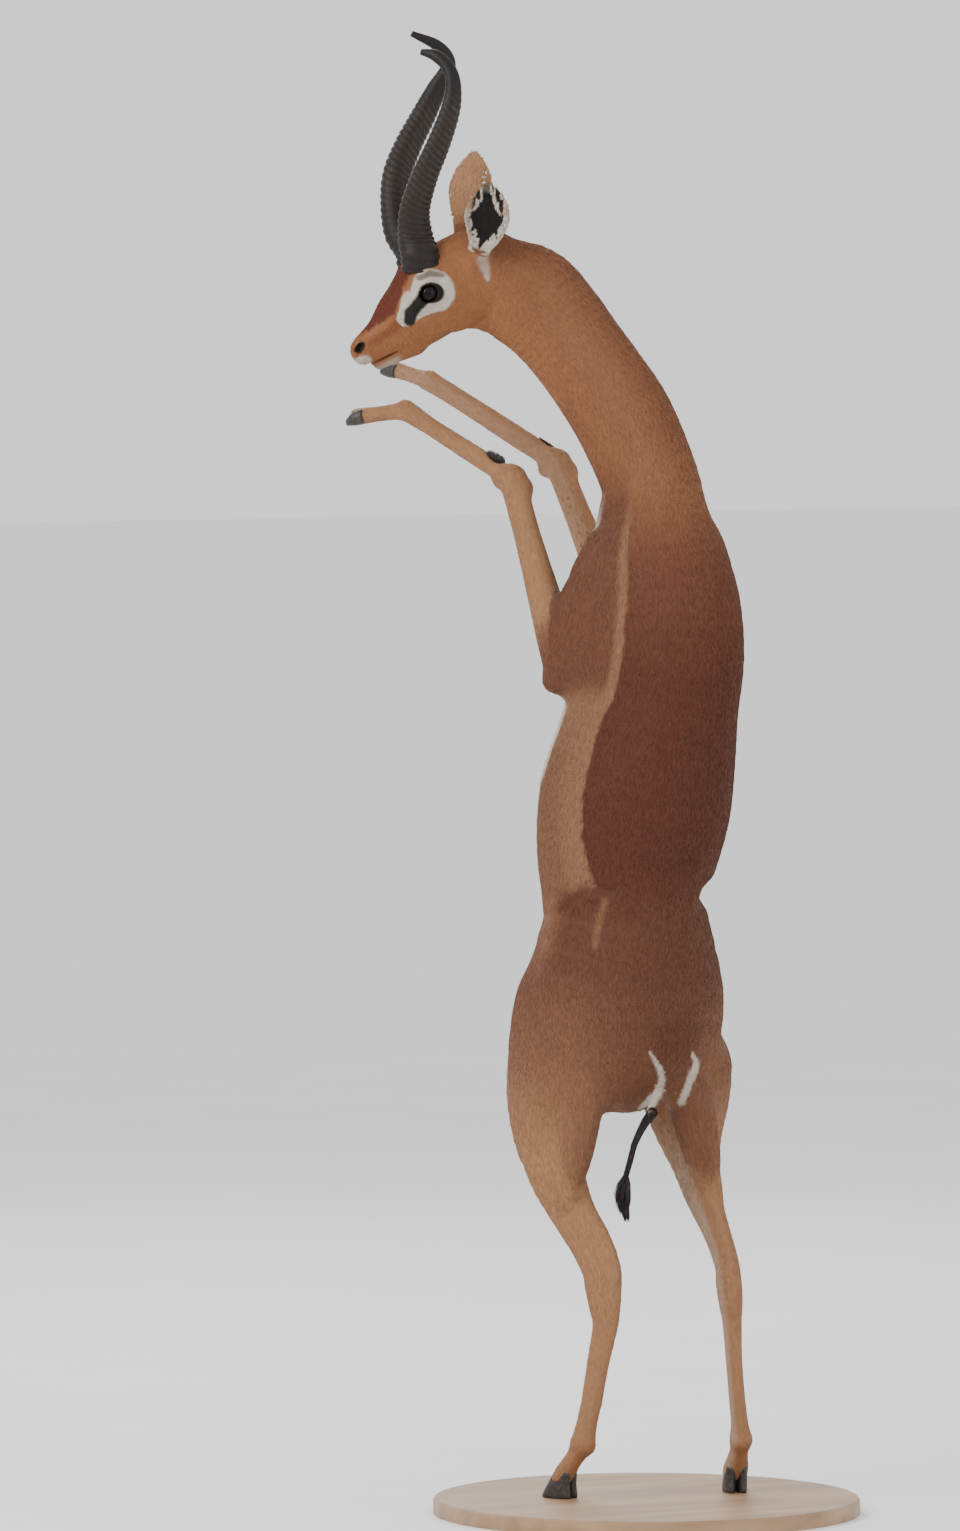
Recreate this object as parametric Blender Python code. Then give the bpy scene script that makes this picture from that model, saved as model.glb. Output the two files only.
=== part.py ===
"""A life-size gerenuk that stands upright on its hind legs to browse, on a plain round base."""
import math
from collections import namedtuple

import bmesh
import bpy
import numpy as np
from mathutils import Matrix, Vector

# Sizes of the whole, in millimetres
MM = 0.001
GAP = 0.3
BASE_RADIUS = 300
BASE_HEIGHT = 22
BASE_BEVEL = 3
BODY_GRID = 5.0
HEAD_GRID = 2.4
BODY_FACES = 6200
HEAD_FACES = 2600
SCRAP = 2e-6

# Places are across, deep and up in a three-quarter rear view: across runs to the
# viewer's right, deep comes toward the viewer, and up starts at the soles.
VIEW_TURN = math.radians(150)
ACROSS = Vector((math.cos(VIEW_TURN), math.sin(VIEW_TURN), 0))
TOWARD = Vector((math.sin(VIEW_TURN), -math.cos(VIEW_TURN), 0))
UP = Vector((0, 0, 1))
BASE_CENTRE = (10, -30)
SOLE = BASE_HEIGHT + GAP

# The head's own frame: between the eyes, facing by turn and tilt, with a little roll
HEAD_PLACE = (-304, -26, 1688)
HEAD_TURN = 105
HEAD_TILT = -27.5
HEAD_ROLL = 6
EYE_RADIUS = 16
EYE_PLACE = (1, 35, 6.5)
EYE_AXIS = (0.22, 0.97, 0.1)

Section = namedtuple("Section", "centre left half back front")
Part = namedtuple("Part", "low high distance")
Form = namedtuple("Form", "joins blend parts")


def at(across, deep, up):
    """Return the point of the model, in metres, for a place in the view's frame."""
    flat = ACROSS * (across - BASE_CENTRE[0]) + TOWARD * (deep - BASE_CENTRE[1])
    return (flat + UP * (up + SOLE)) * MM


def heading(turn):
    """Return the level directions forward and left of a body part that is turned so."""
    angle = math.radians(turn)
    forward = -math.sin(angle) * ACROSS - math.cos(angle) * TOWARD
    left = -math.cos(angle) * ACROSS + math.sin(angle) * TOWARD
    return forward, left


def head_axes():
    """Return the head's forward, left and top directions."""
    level, left = heading(HEAD_TURN)
    tilt = math.radians(HEAD_TILT)
    forward = level * math.cos(tilt) + UP * math.sin(tilt)
    top = forward.cross(left)
    roll = math.radians(HEAD_ROLL)
    side = left * math.cos(roll) - top * math.sin(roll)
    return forward, side, forward.cross(side)


FORWARD, LEFT, TOP = head_axes()


def head_at(ahead, side, above):
    """Return the point for a place in the head's frame, in millimetres."""
    return at(*HEAD_PLACE) + (FORWARD * ahead + LEFT * side + TOP * above) * MM


def head_way(ahead, side, above):
    """Return the unit direction for a direction in the head's frame."""
    return (FORWARD * ahead + LEFT * side + TOP * above).normalized()


def body_section(across, deep, up, half, back, front, turn):
    """Return one oval section of the trunk or a limb, facing as turned."""
    return Section(at(across, deep, up), heading(turn)[1], half, back, front)


def head_section(ahead, above, half, up, down):
    """Return one oval section of the head."""
    return Section(head_at(ahead, 0, above), LEFT, half, up, down)


def reach(points, margin):
    """Return the corners of the box round the points, grown by the margin."""
    low = np.min(points, axis=0) - margin
    high = np.max(points, axis=0) + margin
    return low, high


def smooth_rows(rows, steps):
    """Return the sections with steps between each two, on a smooth curve through them."""
    table = np.array([[*r.centre, *r.left, r.half * MM, r.back * MM, r.front * MM] for r in rows])
    ends = np.vstack([2 * table[0] - table[1], table, 2 * table[-1] - table[-2]])
    out = []
    for i in range(1, len(table)):
        p0, p1, p2, p3 = ends[i - 1:i + 3]
        for step in range(steps):
            t = step / steps
            square = 2 * p0 - 5 * p1 + 4 * p2 - p3
            cube = 3 * p1 - p0 - 3 * p2 + p3
            out.append(0.5 * (2 * p1 + (p2 - p0) * t + square * t * t + cube * t ** 3))
    out.append(table[-1])
    return out


def oval_distance(u, v, s_square, half, deep, end):
    """Return nearly the distance to an oval from the offsets across, deep and along it."""
    tiny = 1e-6
    scaled = np.sqrt((u / half) ** 2 + (v / deep) ** 2 + s_square / end ** 2)
    slope = np.sqrt((u / half ** 2) ** 2 + (v / deep ** 2) ** 2 + s_square / end ** 4)
    return (scaled - 1) * (scaled + tiny) / (slope + tiny / end)


def span(row, following):
    """Return the part between two near sections."""
    start, finish = row[:3], following[:3]
    along = finish - start
    length_square = float((along * along).sum())
    axis = Vector(along).normalized()
    left = Vector(row[3:6] + following[3:6])
    left = (left - axis * left.dot(axis)).normalized()
    back = axis.cross(left)
    low, high = reach([start, finish], max(row[6:9].max(), following[6:9].max()) + 0.03)

    def distance(x, y, z):
        x, y, z = x - start[0], y - start[1], z - start[2]
        t = np.clip((x * along[0] + y * along[1] + z * along[2]) / length_square, 0, 1)
        x, y, z = x - t * along[0], y - t * along[1], z - t * along[2]
        u = x * left.x + y * left.y + z * left.z
        v = x * back.x + y * back.y + z * back.z
        s_square = np.maximum(x * x + y * y + z * z - u * u - v * v, 0)
        half = row[6] + t * (following[6] - row[6])
        rear = row[7] + t * (following[7] - row[7])
        fore = row[8] + t * (following[8] - row[8])
        deep = np.where(v > 0, rear, fore)
        return oval_distance(u, v, s_square, half, deep, np.minimum(half, deep))

    return Part(low, high, distance)


def tube(rows, blend, steps=4):
    """Return a form that runs smoothly through the sections."""
    fine = smooth_rows(rows, steps)
    return Form(True, blend * MM, [span(a, b) for a, b in zip(fine, fine[1:])])


def blob(centre, radii, axes, blend, joins=True):
    """Return an egg form with a radius along each of its three axes."""
    first, second, third = radii[0] * MM, radii[1] * MM, radii[2] * MM
    low, high = reach([centre], max(first, second, third) + 0.03)
    one, two, three = axes

    def distance(x, y, z):
        x, y, z = x - centre.x, y - centre.y, z - centre.z
        u = x * one.x + y * one.y + z * one.z
        v = x * two.x + y * two.y + z * two.z
        s = x * three.x + y * three.y + z * three.z
        return oval_distance(u, v, s * s, first, second, third)

    return Form(joins, blend * MM, [Part(low, high, distance)])


def bar(start, finish, first, last, blend):
    """Return a round bar between two points with a radius at each."""
    along = finish - start
    length_square = along.length_squared
    low, high = reach([start, finish], max(first, last) * MM + 0.03)

    def distance(x, y, z):
        x, y, z = x - start.x, y - start.y, z - start.z
        t = np.clip((x * along.x + y * along.y + z * along.z) / length_square, 0, 1)
        x, y, z = x - t * along.x, y - t * along.y, z - t * along.z
        return np.sqrt(x * x + y * y + z * z) - (first + t * (last - first)) * MM

    return Form(True, blend * MM, [Part(low, high, distance)])


def head_blob(place, radii, blend):
    """Return an egg form in the head's frame."""
    return blob(head_at(*place), radii, (FORWARD, LEFT, TOP), blend)


def muscle(start, finish, across, thick, turn, blend, overrun=1.15):
    """Return an egg form stretched from one point to another, flat toward its facing side."""
    along = finish - start
    axis = along.normalized()
    left = heading(turn)[1]
    left = (left - axis * left.dot(axis)).normalized()
    radii = (along.length / MM / 2 * overrun, thick, across)
    return blob((start + finish) / 2, radii, (axis, left, axis.cross(left)), blend)


# Key points of the limbs
SHOULDER = {"left": at(-71, 31, 1300), "right": at(49, -89, 1300)}
SHOULDER_TOP = {"left": at(-60, 20, 1342), "right": at(54, -82, 1340)}
ELBOW = {"left": at(-108, -12, 1165), "right": at(-20, -200, 1208)}
ELBOW_POINT = {"left": at(-121, -10, 1147), "right": at(-11, -191, 1185)}
KNEE = {"left": at(-180, -45, 1429), "right": at(-115, -290, 1444)}
FORE_FETLOCK = {"left": at(-329, -160, 1522), "right": at(-296, -345, 1560)}
FORE_TOE = {"left": at(-395, -182, 1513), "right": at(-346, -384, 1576)}
HIP = {"left": at(-94, 10, 665), "right": at(44, -70, 665)}
STIFLE = {"left": at(-135, -85, 520), "right": at(62, -165, 520)}
HOCK = {"left": at(-53, 14, 298), "right": at(125, -48, 296)}
FOREARM_CUT = {"left": 0.105, "right": 0.05}
KNEE_CUT = 0.004
SIGN = {"left": 1, "right": -1}
HIND_TURN = {"left": 55, "right": 12}
HIND_FETLOCK = {"left": at(-80, 3, 78), "right": at(143, -54, 78)}
TAIL_ROOT = at(26, 50, 572)
TAIL_WAY = (at(16, 82, 552) - at(26, 50, 572)).normalized()
TAIL_STUB = 0.042

# The roots of ears and horns in the head's frame, the ears' tips, and the horns' middle lines
EAR_ROOT = {"left": (-85, 47, 24), "right": (-96, -46, 29)}
EAR_TIP = {"left": at(-214, 40, 1835), "right": at(-235, -118, 1881)}
HORN_ROOT = {"left": (-14, 22, 54), "right": (-20, -22, 54)}
HORN_WAY = (-8, 5, 30)
HORN_PLACES = {
    "left": ((-314, 0, 1768), (-315, 10, 1805), (-301, 26, 1852), (-281, 42, 1899),
             (-265, 52, 1945), (-261, 52, 1980), (-268, 48, 2003), (-285, 42, 2019),
             (-306, 36, 2025)),
    "right": ((-335, -56, 1775), (-342, -66, 1815), (-340, -80, 1855), (-325, -95, 1895),
              (-306, -106, 1932), (-286, -112, 1972), (-268, -108, 2008), (-283, -104, 2034),
              (-320, -98, 2052)),
}
HORN_RADII = {"left": (23, 20, 17.5, 15.5, 13, 10.5, 9, 8, 4),
              "right": (22, 20, 19, 18, 16.5, 14, 10, 8, 4)}

# The tail's tuft, as radii along it, and the knee brushes: how far along the cannon and out
# from its middle they root, their half sizes, the seat's depth, and rings out to the tips
TUFT_RADII = ((GAP, 4.2), (12, 9), (30, 13), (48, 12), (66, 7), (84, 2))
TUFT_BEND = 40
BRUSH_ALONG = {"left": 33, "right": 22}
BRUSH_OUT = 10
BRUSH_SIZE = (14, 8)
BRUSH_SEAT = 20
BRUSH_RINGS = ((GAP, 1, 0), (6, 1, 0), (11, 0.85, 3), (14, 0.4, 8))


def trunk_form():
    """Return the trunk and neck, from the seat to the back of the head."""
    rows = [
        body_section(-17, -28, 618, 88, 74, 74, 30),
        body_section(-21, -30, 655, 118, 106, 112, 30),
        body_section(-20, -30, 714, 137, 124, 132, 31),
        body_section(-19, -27, 801, 113, 124, 128, 32),
        body_section(-25, -24, 851, 107, 129, 127, 33),
        body_section(-16, -20, 907, 119, 132, 148, 35),
        body_section(-4, -15, 977, 124, 142, 160, 37),
        body_section(9, -8, 1044, 113, 140, 152, 39),
        body_section(21, -2, 1120, 100, 135, 140, 41),
        body_section(29, 5, 1190, 97, 134, 132, 43),
        body_section(28, 10, 1260, 92, 126, 122, 45),
        body_section(21, 12, 1320, 80, 108, 104, 47),
        body_section(17, 10, 1372, 66, 88, 86, 50),
        body_section(13, 2, 1428, 56, 74, 75, 54),
        body_section(-19, -12, 1506, 54, 73, 74, 60),
        body_section(-53, -27, 1561, 52, 70, 71, 66),
        body_section(-87, -40, 1609, 50, 68, 70, 73),
        body_section(-119, -48, 1651, 48, 69, 73, 82),
        body_section(-160, -52, 1690, 45, 70, 78, 92),
        body_section(-225, -48, 1700, 38, 61, 60, 100),
    ]
    return tube(rows, 20)


def head_forms():
    """Return the skull, the muzzle, the jaw, the brows, the cheeks and the stumps of ears and horns."""
    rows = [
        head_section(-108, -8, 38, 50, 52),
        head_section(-88, -5, 43, 58, 62),
        head_section(-60, -4, 45, 60, 64),
        head_section(-30, -6, 46, 60, 62),
        head_section(0, -11, 44, 58, 58),
        head_section(22, -15, 38, 50, 55),
        head_section(48, -22, 30, 43, 49),
        head_section(75, -27, 24, 31, 34),
        head_section(100, -30, 20, 24, 25),
        head_section(113, -33, 17, 20, 19),
    ]
    forms = [tube(rows, 22)]
    forms.append(bar(head_at(98, 0, -57), head_at(42, 0, -58), 10, 16, 8))
    forms.append(head_blob((109, 0, -27), (15, 15, 14), 8))
    for side, sign in SIGN.items():
        forms.append(head_blob((8, sign * 37, 7), (27, 17, 22), 12))
        forms.append(head_blob((-30, sign * 33, -30), (44, 15, 36), 14))
        ahead = EAR_ROOT[side][0]
        forms.append(bar(head_at(ahead + 10, sign * 30, 10), head_at(ahead - 2, sign * 50, 29), 19, 15, 14))
        forms.append(bar(head_at(-6, sign * 17, 28), head_at(-16, sign * 24, 62), 24, 23, 12))
    return forms


def lid_forms(side):
    """Return the lids round one eye and the opening between them."""
    place = (EYE_PLACE[0], EYE_PLACE[1] * SIGN[side], EYE_PLACE[2])
    way = head_way(EYE_AXIS[0], EYE_AXIS[1] * SIGN[side], EYE_AXIS[2])
    centre = head_at(*place)
    long = (FORWARD - way * FORWARD.dot(way)).normalized()
    axes = (way, long, way.cross(long))
    lids = blob(centre, (EYE_RADIUS + 2.6,) * 3, axes, 6)
    opening = blob(centre + way * 17 * MM, (11, 13.5, 11.5), axes, 1.5, joins=False)
    return [lids, opening]


def foreleg_forms(side):
    """Return one raised foreleg, from the shoulder blade to the toes."""
    turn = {"left": 45, "right": 50}[side]
    shoulder, elbow, knee = SHOULDER[side], ELBOW[side], KNEE[side]
    fetlock, toe = FORE_FETLOCK[side], FORE_TOE[side]
    withers = {"left": at(62, 66, 1335), "right": at(95, 20, 1335)}[side]
    left = heading(turn)[1]

    def limb(start, finish, rows, blend):
        """Return a tube along a line with a half width, back and front at each share of it."""
        sections = [Section(start.lerp(finish, s), left, half, back, front)
                    for s, half, back, front in rows]
        return tube(sections, blend, 3)

    forearm = [(0, 26, 30, 28), (0.15, 25, 31, 27), (0.4, 22, 27, 23), (0.65, 19, 22, 19),
               (0.85, 18, 21, 18), (1, 18, 21, 17)]
    broad = {"left": 1, "right": 1.2}[side]
    cannon = [(0, 17, 18, 16), (0.12, 14, 15 * broad, 14), (0.4, 11.5 * broad, 15 * broad, 14),
              (0.75, 11.5 * broad, 14 * broad, 13), (0.93, 14, 16, 14), (1.0, 14, 16, 14)]
    pastern = [(0, 13, 14, 13), (0.5, 12, 12, 11), (1, 15, 13, 12)]
    heel = elbow + (elbow - knee).normalized() * 26 * MM
    bend = (elbow - knee).normalized() + (fetlock - knee).normalized() * 0.2
    knee_back = bend.cross(left).normalized()
    return [
        muscle(withers, shoulder, 46, 22, turn, 30),
        muscle(shoulder, elbow, 40, 27, turn, 26),
        muscle(shoulder.lerp(withers, 0.5), heel, 36, 26, turn, 26),
        limb(elbow, knee, forearm, 12),
        bar(elbow, ELBOW_POINT[side], 20, 15, 14),
        bar(SHOULDER_TOP[side], shoulder, 16, 22, 16),
        bar(knee, knee + knee_back * 0.017, 17, 15, 8),
        bar(knee, knee + (ACROSS * 13 - UP * 14) * MM, 17, 18, 10),
        limb(knee, fetlock, cannon, 8),
        limb(fetlock, toe, pastern, 6),
    ]


def hind_rows(side):
    """Return the sections of one hind leg from the fetlock up to the thigh."""
    if side == "left":
        places = [(-80, 3, 78), (-75, 6, 110), (-68, 8, 140), (-60, 12, 190), (-50, 17, 245),
                  (-51, 17, 272), (-55, 13, 300), (-59, 7, 325), (-73, -9, 357),
                  (-90, -29, 389), (-105, -46, 421), (-118, -62, 458), (-124, -74, 507),
                  (-122, -72, 560), (-112, -50, 610)]
        turns = [55, 55, 55, 55, 55, 55, 55, 54, 53, 50, 48, 45, 40, 36, 32]
    else:
        places = [(143, -54, 78), (140, -53, 110), (137, -52, 140), (133, -50, 190),
                  (130, -47, 245), (128, -45, 272), (125, -48, 300), (122, -55, 325),
                  (112, -72, 357), (101, -93, 389), (90, -115, 421), (82, -134, 458),
                  (72, -150, 507), (66, -148, 560), (60, -125, 610)]
        turns = [12, 12, 12, 12, 12, 12, 12, 12, 12, 13, 14, 16, 20, 25, 30]
    widths = [(15, 19, 18), (12.5, 18, 15), (12, 18, 16), (12, 19, 17), (14, 22, 19),
              (17, 28, 23), (18, 35, 25), (16, 39, 27), (16, 41, 29), (19, 40, 33),
              (25, 42, 39), (32, 50, 48), (42, 66, 60), (52, 84, 72), (60, 96, 84)]
    return [body_section(*place, *width, turn)
            for place, width, turn in zip(places, widths, turns)]


def hind_toe(side):
    """Return the middle of the hoof's crown and the foot's level direction forward."""
    ahead = heading(HIND_TURN[side])[0]
    return HIND_FETLOCK[side] + (ahead * 27 - UP * 38) * MM, ahead


def hindleg_forms(side):
    """Return one hind leg and its thigh and seat muscles."""
    crown, ahead = hind_toe(side)
    left = heading(HIND_TURN[side])[1]
    pastern = [Section(crown - UP * 12 * MM + ahead * 8 * MM, left, 19, 14, 14),
               Section(crown, left, 18, 14, 14),
               Section(crown.lerp(HIND_FETLOCK[side], 0.5), left, 14, 14, 13),
               Section(HIND_FETLOCK[side], left, 15, 19, 17)]
    seat = {"left": at(-66, 36, 630), "right": at(58, -12, 625)}[side]
    calf = {"left": at(-102, -14, 430), "right": at(96, -80, 440)}[side]
    flank = {"left": at(-95, -60, 760), "right": at(10, -130, 760)}[side]
    inner = {"left": 22, "right": 28}[side]
    hip, hip_radius = {"left": (at(-110, -38, 670), 66), "right": (at(56, -60, 690), 52)}[side]
    return [
        tube(hind_rows(side), 22, 3),
        tube(pastern, 8, 2),
        muscle(HIP[side] + UP * 0.06, STIFLE[side], 76, 44, 32, 40),
        muscle(seat, calf, 38, inner, 32, 28),
        muscle(flank, STIFLE[side], 40, 26, 32, 40),
        blob(hip, (hip_radius, 58, 84), (ACROSS, TOWARD, UP), 30),
    ]


def waist_form():
    """Return the hollow that creases the right side of the waist."""
    return blob(at(110, -5, 850), (32, 56, 18), (ACROSS, TOWARD, UP), 14, joins=False)


def body_forms():
    """Return the forms of the neck, the trunk, the legs and the tail's root."""
    forms = [trunk_form()]
    for side in SIGN:
        forms.extend(foreleg_forms(side))
        forms.extend(hindleg_forms(side))
    forms.append(bar(TAIL_ROOT, TAIL_ROOT + TAIL_WAY * 0.06, 12, 7, 16))
    forms.append(waist_form())
    return forms


def neck_and_head_forms():
    """Return the forms of the neck and the head: those that join first, then those that carve."""
    forms = [trunk_form(), *head_forms()]
    for side in SIGN:
        forms.extend(lid_forms(side))
    return forms


def blend_in(field, other, joins, blend):
    """Return two fields joined, or the second carved from the first, with a soft edge."""
    if not joins:
        return -blend_in(-field, other, True, blend)
    soft = np.maximum(blend - np.abs(field - other), 0)
    return np.minimum(field, other) - soft * soft / (4 * blend)


def grid_field(forms, low, high, step):
    """Return the field of the forms on a grid, below zero inside."""
    far = 0.06
    shape = np.ceil((high - low) / step).astype(int) + 1
    axes = [low[i] + step * np.arange(shape[i]) for i in range(3)]
    field = np.full(shape, far)
    for form in forms:
        own = np.full(shape, far)
        for part in form.parts:
            first = np.maximum(np.floor((part.low - low) / step).astype(int), 0)
            last = np.minimum(np.ceil((part.high - low) / step).astype(int) + 1, shape)
            if np.any(last <= first):
                continue
            cut = tuple(slice(a, b) for a, b in zip(first, last))
            x = axes[0][cut[0]][:, None, None]
            y = axes[1][cut[1]][None, :, None]
            z = axes[2][cut[2]][None, None, :]
            own[cut] = np.minimum(own[cut], part.distance(x, y, z))
        touched = np.argwhere(own < far - 1e-9)
        if not len(touched):
            continue
        box = tuple(slice(a, b + 1) for a, b in zip(touched.min(axis=0), touched.max(axis=0)))
        field[box] = blend_in(field[box], own[box], form.joins, form.blend)
    return field


def corner_views(field):
    """Return the eight views of a grid that hold each cell's corners."""
    nx, ny, nz = field.shape
    return {(i, j, k): field[i:nx - 1 + i, j:ny - 1 + j, k:nz - 1 + k]
            for i in (0, 1) for j in (0, 1) for k in (0, 1)}


def settle(field):
    """Fill each cell in which two sheets of the surface would touch."""
    for _ in range(12):
        inside = corner_views(field < 0)
        odd = np.zeros(inside[0, 0, 0].shape, dtype=bool)
        for axis in range(3):
            for level in (0, 1):
                ring = []
                for pair in ((0, 0), (0, 1), (1, 1), (1, 0)):
                    key = list(pair)
                    key.insert(axis, level)
                    ring.append(inside[tuple(key)])
                odd |= (ring[0] == ring[2]) & (ring[1] == ring[3]) & (ring[0] != ring[1])
        count = sum(view.astype(np.int8) for view in inside.values())
        for key, view in inside.items():
            opposite = inside[tuple(1 - c for c in key)]
            odd |= (view == opposite) & ((count == 2) & view | (count == 6) & ~view)
        if not odd.any():
            return
        for key, view in corner_views(field).items():
            view[odd] = np.minimum(view[odd], -1e-5)


def surface(field, low, step):
    """Return the corners and the four-sided faces of the field's zero surface."""
    settle(field)
    inside = field < 0
    nx, ny, nz = field.shape
    count = np.zeros((nx - 1, ny - 1, nz - 1), dtype=np.int8)
    for i in (0, 1):
        for j in (0, 1):
            for k in (0, 1):
                count += inside[i:nx - 1 + i, j:ny - 1 + j, k:nz - 1 + k]
    cells = np.argwhere((count > 0) & (count < 8))
    number = np.full(count.shape, -1, dtype=np.int64)
    number[tuple(cells.T)] = np.arange(len(cells))
    total = np.zeros((len(cells), 3))
    hits = np.zeros(len(cells))
    faces = []
    for axis in range(3):
        side_a, side_b = (axis + 1) % 3, (axis + 2) % 3
        unit = np.zeros(3, dtype=int)
        unit[axis] = 1
        for a in (0, 1):
            for b in (0, 1):
                offset = np.zeros(3, dtype=int)
                offset[side_a], offset[side_b] = a, b
                start = field[tuple((cells + offset).T)]
                end = field[tuple((cells + offset + unit).T)]
                crosses = (start < 0) != (end < 0)
                share = np.where(crosses, start / np.where(crosses, start - end, 1), 0)
                total += np.where(crosses[:, None], offset + share[:, None] * unit, 0)
                hits += crosses
        ahead = np.roll(inside, -1, axis)
        edges = np.argwhere(inside != ahead)
        keep = (edges[:, side_a] > 0) & (edges[:, side_b] > 0) & (edges[:, axis] < field.shape[axis] - 1)
        keep &= (edges[:, side_a] < field.shape[side_a] - 1)
        keep &= (edges[:, side_b] < field.shape[side_b] - 1)
        edges = edges[keep]
        ring = []
        for a, b in ((-1, -1), (0, -1), (0, 0), (-1, 0)):
            offset = np.zeros(3, dtype=int)
            offset[side_a], offset[side_b] = a, b
            ring.append(number[tuple((edges + offset).T)])
        ring = np.stack(ring, axis=1)
        outward = inside[tuple(edges.T)]
        ring[~outward] = ring[~outward][:, ::-1]
        faces.append(ring)
    return low + step * (cells + total / hits[:, None]), np.vstack(faces)


def new_object(name, mesh):
    """Link a mesh to the scene as a named object."""
    obj = bpy.data.objects.new(name, mesh)
    bpy.context.scene.collection.objects.link(obj)
    return obj


def mesh_object(name, corners, faces):
    """Make an object from corners and faces."""
    mesh = bpy.data.meshes.new(name)
    mesh.from_pydata([tuple(c) for c in corners], [], [tuple(f) for f in faces])
    mesh.update()
    return new_object(name, mesh)


def bake(obj):
    """Apply the object's modifiers."""
    graph = bpy.context.evaluated_depsgraph_get()
    mesh = bpy.data.meshes.new_from_object(obj.evaluated_get(graph))
    obj.modifiers.clear()
    obj.data = mesh


def remove(obj):
    """Remove an object from the scene."""
    bpy.data.objects.remove(obj, do_unlink=True)


def field_object(name, forms, low, high, step, face_count):
    """Return the forms' surface within a box as a mesh of about so many faces."""
    step *= MM
    field = grid_field(forms, low, high, step)
    field[[0, -1], :, :] = np.maximum(field[[0, -1], :, :], step)
    field[:, [0, -1], :] = np.maximum(field[:, [0, -1], :], step)
    field[:, :, [0, -1]] = np.maximum(field[:, :, [0, -1]], step)
    obj = mesh_object(name, *surface(field, low, step))
    keep_island(obj)
    thin = obj.modifiers.new("Thin", "DECIMATE")
    thin.ratio = face_count / (2 * len(obj.data.polygons))
    bake(obj)
    return obj


def islands(bm):
    """Return the connected groups of faces, the largest first."""
    left = set(bm.faces)
    groups = []
    for face in bm.faces:
        if face not in left:
            continue
        left.discard(face)
        group, queue = [], [face]
        while queue:
            here = queue.pop()
            group.append(here)
            for edge in here.edges:
                for other in edge.link_faces:
                    if other in left:
                        left.discard(other)
                        queue.append(other)
        groups.append(group)
    return sorted(groups, key=len, reverse=True)


def middle(group):
    """Return the mean of the faces' centres, each weighed by its area."""
    area = sum(face.calc_area() for face in group)
    return sum((face.calc_center_median() * face.calc_area() for face in group), Vector()) / area


def volume(group):
    """Return the volume that the group of faces closes in."""
    total = 0
    for face in group:
        first, *rest = [v.co for v in face.verts]
        for second, third in zip(rest, rest[1:]):
            total += first.dot(second.cross(third)) / 6
    return total


def keep_island(obj, seed=None):
    """Keep the largest connected surface, or the one whose middle is nearest to the seed point."""
    bm = bmesh.new()
    bm.from_mesh(obj.data)
    groups = islands(bm)
    kept = groups[0]
    if seed is not None:
        solid = [group for group in groups if abs(volume(group)) > SCRAP]
        kept = min(solid, key=lambda group: (middle(group) - seed).length)
    extra = set(bm.faces) - set(kept)
    bmesh.ops.delete(bm, geom=list(extra), context="FACES")
    loose = [v for v in bm.verts if not v.link_faces]
    bmesh.ops.delete(bm, geom=loose, context="VERTS")
    bmesh.ops.recalc_face_normals(bm, faces=bm.faces)
    bm.to_mesh(obj.data)
    bm.free()


def cut_with(obj, cutter):
    """Cut one object by another and remove the cutter."""
    change = obj.modifiers.new("Cut", "BOOLEAN")
    change.operation = "DIFFERENCE"
    change.solver = "EXACT"
    change.object = cutter
    bake(obj)
    remove(cutter)


def trim(obj, point, way):
    """Keep what lies ahead of a plane, with a flat face there."""
    bm = bmesh.new()
    bm.from_mesh(obj.data)
    geometry = bm.verts[:] + bm.edges[:] + bm.faces[:]
    bmesh.ops.bisect_plane(bm, geom=geometry, plane_co=point, plane_no=way, clear_inner=True)
    rim = [e for e in bm.edges if e.is_boundary]
    bmesh.ops.holes_fill(bm, edges=rim)
    bmesh.ops.recalc_face_normals(bm, faces=bm.faces)
    bm.to_mesh(obj.data)
    bm.free()


def frame_matrix(point, way):
    """Return the placement whose local Z runs along the way from the point."""
    return Matrix.Translation(point) @ way.to_track_quat("Z", "Y").to_matrix().to_4x4()


def block(point, way, size, depth):
    """Return a box whose near face is at the point, square to the way."""
    bm = bmesh.new()
    bmesh.ops.create_cube(bm, size=1)
    scale = Matrix.Diagonal((size[0] * MM, size[1] * MM, depth * MM, 1))
    shift = Matrix.Translation((0, 0, depth * MM / 2))
    bmesh.ops.transform(bm, matrix=frame_matrix(point, way) @ shift @ scale, verts=bm.verts)
    mesh = bpy.data.meshes.new("Cutter")
    bm.to_mesh(mesh)
    bm.free()
    return new_object("Cutter", mesh)


def drum(point, way, radius, depth):
    """Return a round cutter whose near face is at the point, square to the way."""
    bm = bmesh.new()
    bmesh.ops.create_cone(bm, cap_ends=True, segments=24, radius1=radius * MM,
                          radius2=radius * MM, depth=depth * MM)
    shift = Matrix.Translation((0, 0, depth * MM / 2))
    bmesh.ops.transform(bm, matrix=frame_matrix(point, way) @ shift, verts=bm.verts)
    mesh = bpy.data.meshes.new("Cutter")
    bm.to_mesh(mesh)
    bm.free()
    return new_object("Cutter", mesh)


def ball(name, centre, radius, segments=16, rings=10):
    """Return a round object."""
    bm = bmesh.new()
    bmesh.ops.create_uvsphere(bm, u_segments=segments, v_segments=rings, radius=radius * MM)
    bmesh.ops.transform(bm, matrix=Matrix.Translation(centre), verts=bm.verts)
    mesh = bpy.data.meshes.new(name)
    bm.to_mesh(mesh)
    bm.free()
    return new_object(name, mesh)


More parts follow.
